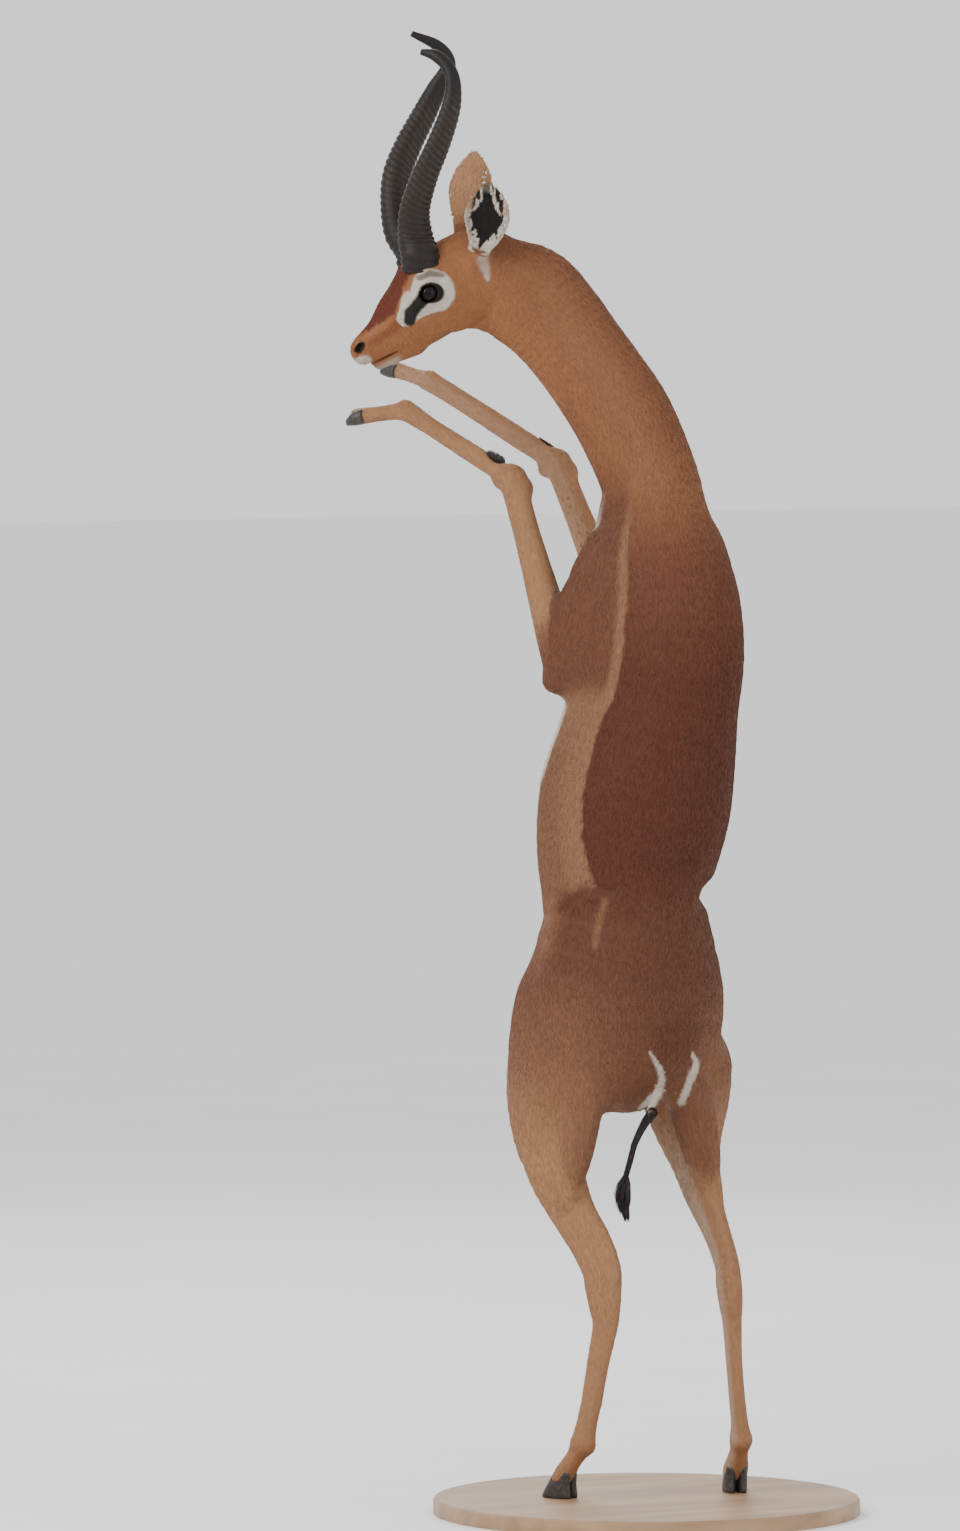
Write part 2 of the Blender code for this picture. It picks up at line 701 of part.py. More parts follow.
def loft(name, rings):
    """Return a closed object through rings of as many points each, with flat ends."""
    bm = bmesh.new()
    loops = [[bm.verts.new(p) for p in ring] for ring in rings]
    for first, second in zip(loops, loops[1:]):
        for i, corner in enumerate(first):
            after = (i + 1) % len(first)
            bm.faces.new((corner, first[after], second[after], second[i]))
    bm.faces.new(loops[0][::-1])
    bm.faces.new(loops[-1])
    bmesh.ops.recalc_face_normals(bm, faces=bm.faces)
    mesh = bpy.data.meshes.new(name)
    bm.to_mesh(mesh)
    bm.free()
    return new_object(name, mesh)


def oval_ring(centre, one, two, half, deep, count):
    """Return an oval ring of points."""
    ring = []
    for i in range(count):
        angle = 2 * math.pi * i / count
        ring.append(centre + one * (half * MM * math.cos(angle)) + two * (deep * MM * math.sin(angle)))
    return ring


# The cuts between the flesh nodes: a point, the way square to the cut, and its size
NECK_WAY = (at(-160, -52, 1690) - at(-119, -48, 1651)).normalized()
NECK_CUT = (at(-140, -50, 1671), NECK_WAY, (230, 230))
CUTS = [
    (at(12, 0, 1418), (at(-19, -12, 1506) - at(17, 10, 1372)).normalized(), (230, 230)),
    (at(0, -12, 1010), UP, (420, 420)),
    (at(-27, -24, 847), UP, (420, 420)),
    (at(-20, -80, 526), UP, (600, 600)),
]


def limb_cuts():
    """Return the cuts across the limbs, one at each joint that parts two nodes."""
    cuts = []
    for side in SIGN:
        arm = (KNEE[side] - ELBOW[side]).normalized()
        cannon = (FORE_FETLOCK[side] - KNEE[side]).normalized()
        toe = (FORE_TOE[side] - FORE_FETLOCK[side]).normalized()
        cuts.append((ELBOW[side] + arm * FOREARM_CUT[side], arm, (84, 84)))
        cuts.append((KNEE[side] + cannon * KNEE_CUT, (arm + cannon).normalized(), (80, 80)))
        cuts.append((FORE_FETLOCK[side] - cannon * 0.004, (cannon + toe).normalized(), (60, 60)))
        hock = HOCK[side]
        cuts.append((hock - UP * 0.035, UP, (120, 120)))
        cuts.append((HIND_FETLOCK[side] + UP * 0.03, UP, (80, 80)))
    return cuts


def foot_ends():
    """Return the flat ends where the hooves begin: a point, the way out and a name each."""
    ends = []
    for side in SIGN:
        crown, ahead = hind_toe(side)
        ends.append((f"hind_{side}", crown, (ahead * 0.35 - UP).normalized()))
        toe = (FORE_TOE[side] - FORE_FETLOCK[side]).normalized()
        ends.append((f"fore_{side}", FORE_TOE[side] - toe * 0.01, toe))
    return ends


SEEDS = {
    "neck": at(-53, -27, 1561),
    "chest": at(28, 10, 1240),
    "belly": at(-10, -18, 930),
    "hindquarters": at(-24, -30, 700),
    "forearm_left": ELBOW["left"].lerp(KNEE["left"], 0.5),
    "forearm_right": ELBOW["right"].lerp(KNEE["right"], 0.5),
    "fore_cannon_left": KNEE["left"].lerp(FORE_FETLOCK["left"], 0.5),
    "fore_cannon_right": KNEE["right"].lerp(FORE_FETLOCK["right"], 0.5),
    "fore_foot_left": FORE_FETLOCK["left"].lerp(FORE_TOE["left"], 0.4),
    "fore_foot_right": FORE_FETLOCK["right"].lerp(FORE_TOE["right"], 0.4),
    "shank_left": at(-105, -46, 421),
    "shank_right": at(90, -115, 421),
    "hind_cannon_left": at(-64, 10, 165),
    "hind_cannon_right": at(135, -51, 165),
    "hind_foot_left": at(-84, 0, 72),
    "hind_foot_right": at(143, -58, 72),
}


def make_body():
    """Make the flesh nodes below the head."""
    low = np.array(at(*BASE_CENTRE, 0)) + np.array((-0.45, -0.55, 0.005))
    high = np.array(at(*BASE_CENTRE, 0)) + np.array((0.45, 0.35, 1.80))
    whole = field_object("Body", body_forms(), low, high, BODY_GRID, BODY_FACES)
    for point, way, size in [NECK_CUT, *CUTS, *limb_cuts()]:
        cut_with(whole, block(point - way * (GAP * MM / 2), way, size, GAP))
    ends = {f"{name[:4]}_foot{name[4:]}": block(point, way, (70, 70), 90)
            for name, point, way in foot_ends()}
    ends["hindquarters"] = block(TAIL_ROOT + TAIL_WAY * TAIL_STUB, TAIL_WAY, (60, 60), 60)
    for name, seed in SEEDS.items():
        piece = new_object(name, whole.data.copy())
        keep_island(piece, seed)
        if name in ends:
            cut_with(piece, ends[name])
            keep_island(piece)
        if name.startswith("fore_cannon"):
            cut_with(piece, brush_seat(name.split("_")[2]))
            keep_island(piece)
    remove(whole)


def horn_root(side):
    """Return the middle of the horn's root and its way up."""
    ahead, across, above = HORN_WAY
    return head_at(*HORN_ROOT[side]), head_way(ahead, SIGN[side] * across, above)


def ear_root(side):
    """Return the middle of the ear's root and its way out."""
    return head_at(*EAR_ROOT[side]), head_way(-0.52, 0.80 * SIGN[side], 0.90)


def make_head():
    """Make the head with its eye sockets and the flat roots of the ears and horns."""
    forms = neck_and_head_forms()
    centre = head_at(-50, 0, -15)
    reach_out = 0.215
    low = np.array(centre) - reach_out
    high = np.array(centre) + reach_out
    head = field_object("head", forms, low, high, HEAD_GRID, HEAD_FACES)
    point, way, size = NECK_CUT
    cut_with(head, block(point + way * (GAP * MM / 2), -way, (300, 300), 200))
    keep_island(head)
    for side in SIGN:
        place, out = horn_root(side)
        cut_with(head, drum(place, out, 34, 60))
        place, out = ear_root(side)
        cut_with(head, drum(place, out, 36, 50))
        eye = head_at(EYE_PLACE[0], EYE_PLACE[1] * SIGN[side], EYE_PLACE[2])
        cut_with(head, ball("Cutter", eye, EYE_RADIUS + GAP, 20, 12))
        ball(f"eye_{side}", eye, EYE_RADIUS)
    keep_island(head)
    return head


def make_horn(side):
    """Make one ringed horn that sweeps up and out, with its tip turned forward."""
    root, way = horn_root(side)
    side_way = LEFT
    rows = [Section(root - way * 4 * MM, side_way, 25, 0, 0),
            Section(root + way * 8 * MM, side_way, 24.5, 0, 0)]
    rows += [Section(at(*p), side_way, r, 0, 0)
             for p, r in zip(HORN_PLACES[side], HORN_RADII[side])]
    fine = smooth_rows(rows, 5)
    rings = []
    ringed = 0.68 * len(fine)
    for i, row in enumerate(fine):
        ahead = Vector(fine[min(i + 1, len(fine) - 1)][:3] - fine[max(i - 1, 0)][:3]).normalized()
        if i < 5:
            ahead = way
        one = (side_way - ahead * side_way.dot(ahead)).normalized()
        two = ahead.cross(one)
        swell = 1.05 if i % 2 and i < ringed else 0.97
        radius = row[6] / MM * swell
        rings.append(oval_ring(Vector(row[:3]), one, two, radius * 0.82, radius * 1.08, 10))
    horn = loft(f"horn_{side}", rings)
    trim(horn, root + way * GAP * MM, way)


def make_ear(side):
    """Make one long cupped ear, open to its outer side."""
    root, out = ear_root(side)
    tip = EAR_TIP[side]
    opening = {"left": TOWARD * 0.98 - ACROSS * 0.1 + UP * 0.1,
               "right": -TOWARD * 0.95 - ACROSS * 0.2 + UP * 0.1}[side].normalized()
    shares = [0, 0.1, 0.22, 0.36, 0.5, 0.64, 0.78, 0.9, 1]
    halves = [14, 17, 23, 29, 32, 30, 25, 17, 6]
    wraps = [165, 140, 115, 95, 80, 70, 60, 50, 45]
    bend = root.lerp(tip, 0.5) + out * 10 * MM + ACROSS * 9 * MM
    across_count = 7
    rings = []
    for share, half, wrap in zip(shares, halves, wraps):
        spine = root * (1 - share) ** 2 + bend * 2 * share * (1 - share) + tip * share ** 2
        ahead = ((bend - root) * (1 - share) + (tip - bend) * share).normalized()
        open_way = (opening - ahead * opening.dot(ahead)).normalized()
        if share == 0:
            spine, ahead = root - out * 4 * MM, out
            open_way = (opening - out * opening.dot(out)).normalized()
        side_way = ahead.cross(open_way)
        angle = math.radians(wrap)
        outer = half / math.sin(min(angle, math.pi / 2))
        wall = outer * 0.85 if share == 0 else min(3.0, outer * 0.6)
        middle = spine + open_way * (outer - 14) * MM
        ring = []
        for radius, way in ((outer, 1), (outer - wall, -1)):
            for i in range(across_count):
                turn = way * angle * (2 * i / (across_count - 1) - 1)
                spoke = side_way * math.sin(turn) - open_way * math.cos(turn)
                ring.append(middle + spoke * radius * MM)
        rings.append(ring)
    ear = loft(f"ear_{side}", rings)
    trim(ear, root + out * GAP * MM, out)


def make_hooves():
    """Make the two hooves of each foot."""
    for name, crown, way in foot_ends():
        side = name.split("_")[1]
        hind = name.startswith("hind")
        if hind:
            ahead = heading(HIND_TURN[side])[0]
            down = -UP
        else:
            ahead = (FORE_TOE[side] - FORE_FETLOCK[side]).normalized()
            down = (-UP + ahead * UP.dot(ahead)).normalized()
        across = down.cross(ahead).normalized()
        for label, sign in (("outer", SIGN[side]), ("inner", -SIGN[side])):
            left_way = heading(HIND_TURN[side])[1] if hind else heading(45)[1]
            if across.dot(left_way) < 0:
                across = -across
            make_hoof(f"hoof_{name}_{label}", crown, way, ahead, down, across * sign, hind)


def make_hoof(name, crown, way, ahead, down, out, hind):
    """Make one hoof, from its crown at the foot's flat end to its flat sole."""
    top_centre = crown + out * 8.6 * MM + way * GAP * MM
    top_ahead = (ahead - way * ahead.dot(way)).normalized() if hind else -down
    if not hind:
        down_depth = 26
        sole = top_centre + ahead * down_depth * MM
        ring_top = oval_ring(top_centre, out, top_ahead, 7.6, 11, 10)
        ring_mid = oval_ring(top_centre + ahead * 15 * MM + down * 2 * MM, out, top_ahead, 8, 11, 10)
        ring_end = oval_ring(sole + down * 6 * MM, out, top_ahead, 4, 5, 10)
        loft(name, [ring_top, ring_mid, ring_end])
        return
    height = (top_centre.z - SOLE * MM) / MM
    toe = top_centre + ahead * 12 * MM
    toe.z = SOLE * MM
    ring_top = oval_ring(top_centre, out, top_ahead, 7.6, 12, 12)
    ring_mid = oval_ring(toe + UP * height * 0.45 * MM - ahead * 3 * MM, out, ahead, 8.4, 19, 12)
    ring_low = oval_ring(toe + UP * 3 * MM, out, ahead, 8.4, 25, 12)
    ring_sole = oval_ring(toe, out, ahead, 7.6, 23.5, 12)
    loft(name, [ring_top, ring_mid, ring_low, ring_sole])


def make_tail():
    """Make the thin tail and its dark tuft."""
    root = TAIL_ROOT + TAIL_WAY * (TAIL_STUB + GAP * MM)
    places = [root, root + TAIL_WAY * 0.006, at(3, 92, 532), at(-8, 94, 509), at(-15, 93, 484),
              at(-20, 90, 466)]
    radii = [7.6, 7.2, 5.6, 4.8, 4.4, 4.2]
    left = heading(30)[1]
    rows = [Section(p, left, r, 0, 0) for p, r in zip(places, radii)]
    rings = []
    fine = smooth_rows(rows, 2)
    for i, row in enumerate(fine):
        ahead = Vector(fine[min(i + 1, len(fine) - 1)][:3] - fine[max(i - 1, 0)][:3]).normalized()
        if i == 0:
            ahead = TAIL_WAY
        one = (left - ahead * left.dot(ahead)).normalized()
        rings.append(oval_ring(Vector(row[:3]), one, ahead.cross(one), row[6] / MM, row[6] / MM, 8))
    loft("tail", rings)
    end = Vector(fine[-1][:3])
    ahead = Vector(fine[-1][:3] - fine[-2][:3]).normalized()
    one = (left - ahead * left.dot(ahead)).normalized()
    two = ahead.cross(one)
    tuft = []
    for along, radius in TUFT_RADII:
        drop = ahead.lerp(-UP, min(1, along / TUFT_BEND)).normalized()
        tuft.append(oval_ring(end + drop * along * MM, one, two, radius, radius, 10))
    loft("tail_tuft", tuft)


def brush_root(side):
    """Return a knee brush's root, and the ways along the cannon, across it and out from it."""
    cannon = (FORE_FETLOCK[side] - KNEE[side]).normalized()
    arm = (KNEE[side] - ELBOW[side]).normalized()
    front = (arm - cannon * arm.dot(cannon)).normalized()
    root = KNEE[side] + (cannon * BRUSH_ALONG[side] + front * BRUSH_OUT) * MM
    return root, cannon, front.cross(cannon), front


def brush_seat(side):
    """Return the cutter for the shallow seat of one knee brush."""
    root, along, across, front = brush_root(side)
    length, width = BRUSH_SIZE
    rings = [oval_ring(root + front * out * MM, along, across, length + GAP, width + GAP, 12)
             for out in (0, BRUSH_SEAT)]
    return loft("Cutter", rings)


def make_knee_brush(side):
    """Make the brush of longer hair past one knee, a low pad that leans along the cannon."""
    root, along, across, front = brush_root(side)
    length, width = BRUSH_SIZE
    rings = []
    for out, share, lean in BRUSH_RINGS:
        place = root + (front * out + along * lean) * MM
        rings.append(oval_ring(place, along, across, length * share, width * share, 12))
    loft(f"knee_brush_{side}", rings)


def make_base():
    """Make the round base under the feet."""
    bm = bmesh.new()
    bmesh.ops.create_cone(bm, cap_ends=True, segments=48, radius1=BASE_RADIUS * MM,
                          radius2=BASE_RADIUS * MM, depth=BASE_HEIGHT * MM)
    bmesh.ops.translate(bm, vec=(0, 0, BASE_HEIGHT * MM / 2), verts=bm.verts)
    rim = [e for e in bm.edges if all(v.co.z > BASE_HEIGHT * MM / 2 for v in e.verts)]
    bmesh.ops.bevel(bm, geom=rim, offset=BASE_BEVEL * MM, segments=1, affect="EDGES")
    mesh = bpy.data.meshes.new("stand_base")
    bm.to_mesh(mesh)
    bm.free()
    new_object("stand_base", mesh)


LOOKS = {
    "head": ((0.48, 0.22, 0.10), 0.8), "neck": ((0.38, 0.16, 0.08), 0.8),
    "chest": ((0.14, 0.05, 0.03), 0.8), "belly": ((0.32, 0.16, 0.09), 0.8),
    "hind": ((0.48, 0.28, 0.15), 0.8), "fore": ((0.48, 0.28, 0.15), 0.8),
    "shank": ((0.48, 0.28, 0.15), 0.8), "ear": ((0.5, 0.32, 0.2), 0.8),
    "horn": ((0.05, 0.035, 0.025), 0.6), "eye": ((0.01, 0.006, 0.004), 0.1),
    "tail": ((0.02, 0.015, 0.012), 0.8), "knee": ((0.03, 0.02, 0.015), 0.8),
    "hoof": ((0.02, 0.018, 0.016), 0.5), "stand": ((0.35, 0.22, 0.12), 0.6),
}


def paint(obj):
    """Give the object a material of its own in the colour of its kind."""
    kind = next(k for k in LOOKS if obj.name.startswith(k))
    colour, roughness = LOOKS[kind]
    material = bpy.data.materials.new(obj.name)
    material.use_nodes = True
    shader = material.node_tree.nodes["Principled BSDF"]
    shader.inputs["Base Color"].default_value = (*colour, 1)
    shader.inputs["Roughness"].default_value = roughness
    obj.data.materials.clear()
    obj.data.materials.append(material)


def build():
    """Make every node of the model."""
    for obj in list(bpy.data.objects):
        remove(obj)
    make_body()
    make_head()
    for side in SIGN:
        make_horn(side)
        make_ear(side)
        make_knee_brush(side)
    make_hooves()
    make_tail()
    make_base()
    for obj in bpy.data.objects:
        paint(obj)


build()
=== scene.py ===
"""The looks of a life-size gerenuk that stands upright on its hind legs to browse."""
import math
from collections import namedtuple

import bmesh
import bpy
import numpy as np
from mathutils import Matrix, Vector


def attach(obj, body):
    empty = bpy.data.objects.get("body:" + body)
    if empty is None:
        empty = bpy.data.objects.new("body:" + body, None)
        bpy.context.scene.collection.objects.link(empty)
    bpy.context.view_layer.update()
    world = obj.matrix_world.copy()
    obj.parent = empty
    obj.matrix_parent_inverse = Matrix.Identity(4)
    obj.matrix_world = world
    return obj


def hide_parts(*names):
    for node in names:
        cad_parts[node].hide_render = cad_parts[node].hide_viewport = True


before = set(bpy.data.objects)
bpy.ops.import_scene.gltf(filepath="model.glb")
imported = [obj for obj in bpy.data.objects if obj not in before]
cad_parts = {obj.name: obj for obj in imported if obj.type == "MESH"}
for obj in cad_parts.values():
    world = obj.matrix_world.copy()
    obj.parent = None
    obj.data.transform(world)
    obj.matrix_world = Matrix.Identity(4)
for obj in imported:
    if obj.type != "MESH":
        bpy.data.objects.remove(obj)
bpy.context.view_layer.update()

# Sizes in millimetres, and the view's frame as the part has it
MM = 0.001
BASE_HEIGHT = 22
GAP = 0.3
BODY_GRID = 4.5
HEAD_GRID = 1.5
COAT_DEPTH = 0.8
VIEW_TURN = math.radians(150)
ACROSS = Vector((math.cos(VIEW_TURN), math.sin(VIEW_TURN), 0))
TOWARD = Vector((math.sin(VIEW_TURN), -math.cos(VIEW_TURN), 0))
UP = Vector((0, 0, 1))
BASE_CENTRE = (10, -30)
SOLE = BASE_HEIGHT + GAP
HEAD_PLACE = (-304, -26, 1688)
HEAD_TURN = 105
HEAD_TILT = -27.5
HEAD_ROLL = 6
EYE_RADIUS = 16
EYE_PLACE = (1, 35, 6.5)
EYE_AXIS = (0.22, 0.97, 0.1)
SIGN = {"left": 1, "right": -1}

# The picture's size and the view's origin in pixels, the millimetres of a pixel, and the camera
PICTURE = (960, 1531)
ORIGIN = (640, 1500)
PIXEL = 1.4
CAMERA_DISTANCE = 16.0
CAMERA_RISE = math.radians(3)
SENSOR = 36

Section = namedtuple("Section", "centre left half back front")
Part = namedtuple("Part", "low high distance")
Form = namedtuple("Form", "joins blend parts")


def at(across, deep, up):
    """Return the point of the model, in metres, for a place in the view's frame."""
    flat = ACROSS * (across - BASE_CENTRE[0]) + TOWARD * (deep - BASE_CENTRE[1])
    return (flat + UP * (up + SOLE)) * MM


def heading(turn):
    """Return the level directions forward and left of a body part that is turned so."""
    angle = math.radians(turn)
    forward = -math.sin(angle) * ACROSS - math.cos(angle) * TOWARD
    left = -math.cos(angle) * ACROSS + math.sin(angle) * TOWARD
    return forward, left


def head_axes():
    """Return the head's forward, left and top directions."""
    level, left = heading(HEAD_TURN)
    tilt = math.radians(HEAD_TILT)
    forward = level * math.cos(tilt) + UP * math.sin(tilt)
    top = forward.cross(left)
    roll = math.radians(HEAD_ROLL)
    side = left * math.cos(roll) - top * math.sin(roll)
    return forward, side, forward.cross(side)


FORWARD, LEFT, TOP = head_axes()


def head_at(ahead, side, above):
    """Return the point for a place in the head's frame, in millimetres."""
    return at(*HEAD_PLACE) + (FORWARD * ahead + LEFT * side + TOP * above) * MM


def head_way(ahead, side, above):
    """Return the unit direction for a direction in the head's frame."""
    return (FORWARD * ahead + LEFT * side + TOP * above).normalized()


def body_section(across, deep, up, half, back, front, turn):
    """Return one oval section of the trunk or a limb, facing as turned."""
    return Section(at(across, deep, up), heading(turn)[1], half, back, front)


def head_section(ahead, above, half, up, down):
    """Return one oval section of the head."""
    return Section(head_at(ahead, 0, above), LEFT, half, up, down)


def reach(points, radius):
    """Return the corners of the box round the points, grown by the radius and a spare margin."""
    margin = radius + 0.03
    return np.min(points, axis=0) - margin, np.max(points, axis=0) + margin


def smooth_rows(rows, steps):
    """Return the sections with steps between each two, on a smooth curve through them."""
    table = np.array([[*r.centre, *r.left, r.half * MM, r.back * MM, r.front * MM] for r in rows])
    ends = np.vstack([2 * table[0] - table[1], table, 2 * table[-1] - table[-2]])
    out = []
    for i in range(1, len(table)):
        p0, p1, p2, p3 = ends[i - 1:i + 3]
        for step in range(steps):
            t = step / steps
            square = 2 * p0 - 5 * p1 + 4 * p2 - p3
            cube = 3 * p1 - p0 - 3 * p2 + p3
            out.append(0.5 * (2 * p1 + (p2 - p0) * t + square * t * t + cube * t ** 3))
    out.append(table[-1])
    return out


def oval_distance(u, v, s_square, half, deep, end):
    """Return nearly the distance to an oval from the offsets across, deep and along it."""
    tiny = 1e-6
    scaled = np.sqrt((u / half) ** 2 + (v / deep) ** 2 + s_square / end ** 2)
    slope = np.sqrt((u / half ** 2) ** 2 + (v / deep ** 2) ** 2 + s_square / end ** 4)
    return (scaled - 1) * (scaled + tiny) / (slope + tiny / end)


def span(row, following):
    """Return the part between two near sections."""
    start, finish = row[:3], following[:3]
    along = finish - start
    length_square = float((along * along).sum())
    axis = Vector(along).normalized()
    left = Vector(row[3:6] + following[3:6])
    left = (left - axis * left.dot(axis)).normalized()
    back = axis.cross(left)
    low, high = reach([start, finish], max(row[6:9].max(), following[6:9].max()))

    def distance(x, y, z):
        x, y, z = x - start[0], y - start[1], z - start[2]
        t = np.clip((x * along[0] + y * along[1] + z * along[2]) / length_square, 0, 1)
        x, y, z = x - t * along[0], y - t * along[1], z - t * along[2]
        u = x * left.x + y * left.y + z * left.z
        v = x * back.x + y * back.y + z * back.z
        s_square = np.maximum(x * x + y * y + z * z - u * u - v * v, 0)
        half = row[6] + t * (following[6] - row[6])
        rear = row[7] + t * (following[7] - row[7])
        fore = row[8] + t * (following[8] - row[8])
        deep = np.where(v > 0, rear, fore)
        return oval_distance(u, v, s_square, half, deep, np.minimum(half, deep))

    return Part(low, high, distance)


def tube(rows, blend, steps=4):
    """Return a form that runs smoothly through the sections."""
    fine = smooth_rows(rows, steps)
    return Form(True, blend * MM, [span(a, b) for a, b in zip(fine, fine[1:])])


def blob(centre, radii, axes, blend, joins=True):
    """Return an egg form with a radius along each of its three axes."""
    first, second, third = radii[0] * MM, radii[1] * MM, radii[2] * MM
    low, high = reach([centre], max(first, second, third))
    one, two, three = axes

    def distance(x, y, z):
        x, y, z = x - centre.x, y - centre.y, z - centre.z
        u = x * one.x + y * one.y + z * one.z
        v = x * two.x + y * two.y + z * two.z
        s = x * three.x + y * three.y + z * three.z
        return oval_distance(u, v, s * s, first, second, third)

    return Form(joins, blend * MM, [Part(low, high, distance)])


def bar(start, finish, first, last, blend, joins=True):
    """Return a round bar between two points with a radius at each."""
    along = finish - start
    length_square = along.length_squared
    low, high = reach([start, finish], max(first, last) * MM)

    def distance(x, y, z):
        x, y, z = x - start.x, y - start.y, z - start.z
        t = np.clip((x * along.x + y * along.y + z * along.z) / length_square, 0, 1)
        x, y, z = x - t * along.x, y - t * along.y, z - t * along.z
        return np.sqrt(x * x + y * y + z * z) - (first + t * (last - first)) * MM

    return Form(joins, blend * MM, [Part(low, high, distance)])


def head_blob(place, radii, blend, joins=True):
    """Return an egg form in the head's frame."""
    return blob(head_at(*place), radii, (FORWARD, LEFT, TOP), blend, joins)


def muscle(start, finish, across, thick, turn, blend, overrun=1.15):
    """Return an egg form stretched from one point to another, flat toward its facing side."""
    along = finish - start
    axis = along.normalized()
    left = heading(turn)[1]
    left = (left - axis * left.dot(axis)).normalized()
    radii = (along.length / MM / 2 * overrun, thick, across)
    return blob((start + finish) / 2, radii, (axis, left, axis.cross(left)), blend)


# Key points of the limbs, and the degrees by which the legs turn
SHOULDER = {"left": at(-71, 31, 1300), "right": at(49, -89, 1300)}
SHOULDER_TOP = {"left": at(-60, 20, 1342), "right": at(54, -82, 1340)}
ELBOW = {"left": at(-108, -12, 1165), "right": at(-20, -200, 1208)}
ELBOW_POINT = {"left": at(-121, -10, 1147), "right": at(-11, -191, 1185)}
KNEE = {"left": at(-180, -45, 1429), "right": at(-115, -290, 1444)}
FORE_FETLOCK = {"left": at(-329, -160, 1522), "right": at(-296, -345, 1560)}
FORE_TOE = {"left": at(-395, -182, 1513), "right": at(-346, -384, 1576)}
HIP = {"left": at(-94, 10, 665), "right": at(44, -70, 665)}
STIFLE = {"left": at(-135, -85, 520), "right": at(62, -165, 520)}
FORE_TURN = {"left": 45, "right": 50}
HIND_TURN = {"left": 55, "right": 12}
HIND_FETLOCK = {"left": at(-80, 3, 78), "right": at(143, -54, 78)}
TAIL_ROOT = at(26, 50, 572)
TAIL_WAY = (at(16, 82, 552) - at(26, 50, 572)).normalized()
TAIL_STUB = 0.042

# The roots of ears and horns in the head's frame, the ears' tips, and the horns' middle lines
EAR_ROOT = {"left": (-85, 47, 24), "right": (-96, -46, 29)}
EAR_TIP = {"left": at(-214, 40, 1835), "right": at(-235, -118, 1881)}
HORN_ROOT = {"left": (-14, 22, 54), "right": (-20, -22, 54)}
HORN_WAY = (-8, 5, 30)
HORN_PLACES = {
    "left": ((-314, 0, 1768), (-315, 10, 1805), (-301, 26, 1852), (-281, 42, 1899),
             (-265, 52, 1945), (-261, 52, 1980), (-268, 48, 2003), (-285, 42, 2019),
             (-306, 36, 2025)),
    "right": ((-335, -56, 1775), (-342, -66, 1815), (-340, -80, 1855), (-325, -95, 1895),
              (-306, -106, 1932), (-286, -112, 1972), (-268, -108, 2008), (-283, -104, 2034),
              (-320, -98, 2052)),
}
HORN_RADII = {"left": (23, 20, 17.5, 15.5, 13, 10.5, 9, 8, 4),
              "right": (22, 20, 19, 18, 16.5, 14, 10, 8, 4)}


def trunk_form():
    """Return the trunk and neck, from the seat to the back of the head."""
    rows = [
        (-17, -28, 618, 88, 74, 74, 30),
        (-21, -30, 655, 118, 106, 112, 30),
        (-20, -30, 714, 137, 124, 132, 31),
        (-19, -27, 801, 113, 124, 128, 32),
        (-25, -24, 851, 107, 129, 127, 33),
        (-16, -20, 907, 119, 132, 148, 35),
        (-4, -15, 977, 124, 142, 160, 37),
        (9, -8, 1044, 113, 140, 152, 39),
        (21, -2, 1120, 100, 135, 140, 41),
        (29, 5, 1190, 97, 134, 132, 43),
        (28, 10, 1260, 92, 126, 122, 45),
        (21, 12, 1320, 80, 108, 104, 47),
        (17, 10, 1372, 66, 88, 86, 50),
        (13, 2, 1428, 56, 74, 75, 54),
        (-19, -12, 1506, 54, 73, 74, 60),
        (-53, -27, 1561, 52, 70, 71, 66),
        (-87, -40, 1609, 50, 68, 70, 73),
        (-119, -48, 1651, 48, 69, 73, 82),
        (-160, -52, 1690, 45, 70, 78, 92),
        (-225, -48, 1700, 38, 61, 60, 100),
    ]
    return tube([body_section(*row) for row in rows], 20)


def head_forms():
    """Return the skull, the muzzle, the jaw, the brows, the cheeks and the stumps of ears and horns."""
    rows = [
        (-108, -8, 38, 50, 52),
        (-88, -5, 43, 58, 62),
        (-60, -4, 45, 60, 64),
        (-30, -6, 46, 60, 62),
        (0, -11, 44, 58, 58),
        (22, -15, 38, 50, 55),
        (48, -22, 30, 43, 49),
        (75, -27, 24, 31, 34),
        (100, -30, 20, 24, 25),
        (113, -33, 17, 20, 19),
    ]
    forms = [
        tube([head_section(*row) for row in rows], 22),
        bar(head_at(98, 0, -57), head_at(42, 0, -58), 10, 16, 8),
        head_blob((109, 0, -27), (15, 15, 14), 8),
    ]
    for side, sign in SIGN.items():
        ahead = EAR_ROOT[side][0]
        forms += [
            head_blob((8, sign * 37, 7), (27, 17, 22), 12),
            head_blob((-30, sign * 33, -30), (44, 15, 36), 14),
            bar(head_at(ahead + 10, sign * 30, 10), head_at(ahead - 2, sign * 50, 29), 19, 12, 14),
            bar(head_at(-6, sign * 17, 28), head_at(-12, sign * 21, 42), 24, 21, 12),
        ]
    return forms


def eye_axes(side):
    """Return an eye's centre, its way out, and the ways along and across its opening."""
    way = head_way(EYE_AXIS[0], EYE_AXIS[1] * SIGN[side], EYE_AXIS[2])
    long = (FORWARD - way * FORWARD.dot(way)).normalized()
    high = way.cross(long)
    if high.dot(TOP) < 0:
        high = -high
    return head_at(EYE_PLACE[0], EYE_PLACE[1] * SIGN[side], EYE_PLACE[2]), way, long, high


def lid_forms(side):
    """Return the lids round one eye and the opening between them."""
    centre, *axes = eye_axes(side)
    lids = blob(centre, (EYE_RADIUS + 2.6,) * 3, axes, 6)
    opening = blob(centre + axes[0] * 17 * MM, (11, 13.5, 11.5), axes, 1.5, joins=False)
    return [lids, opening]


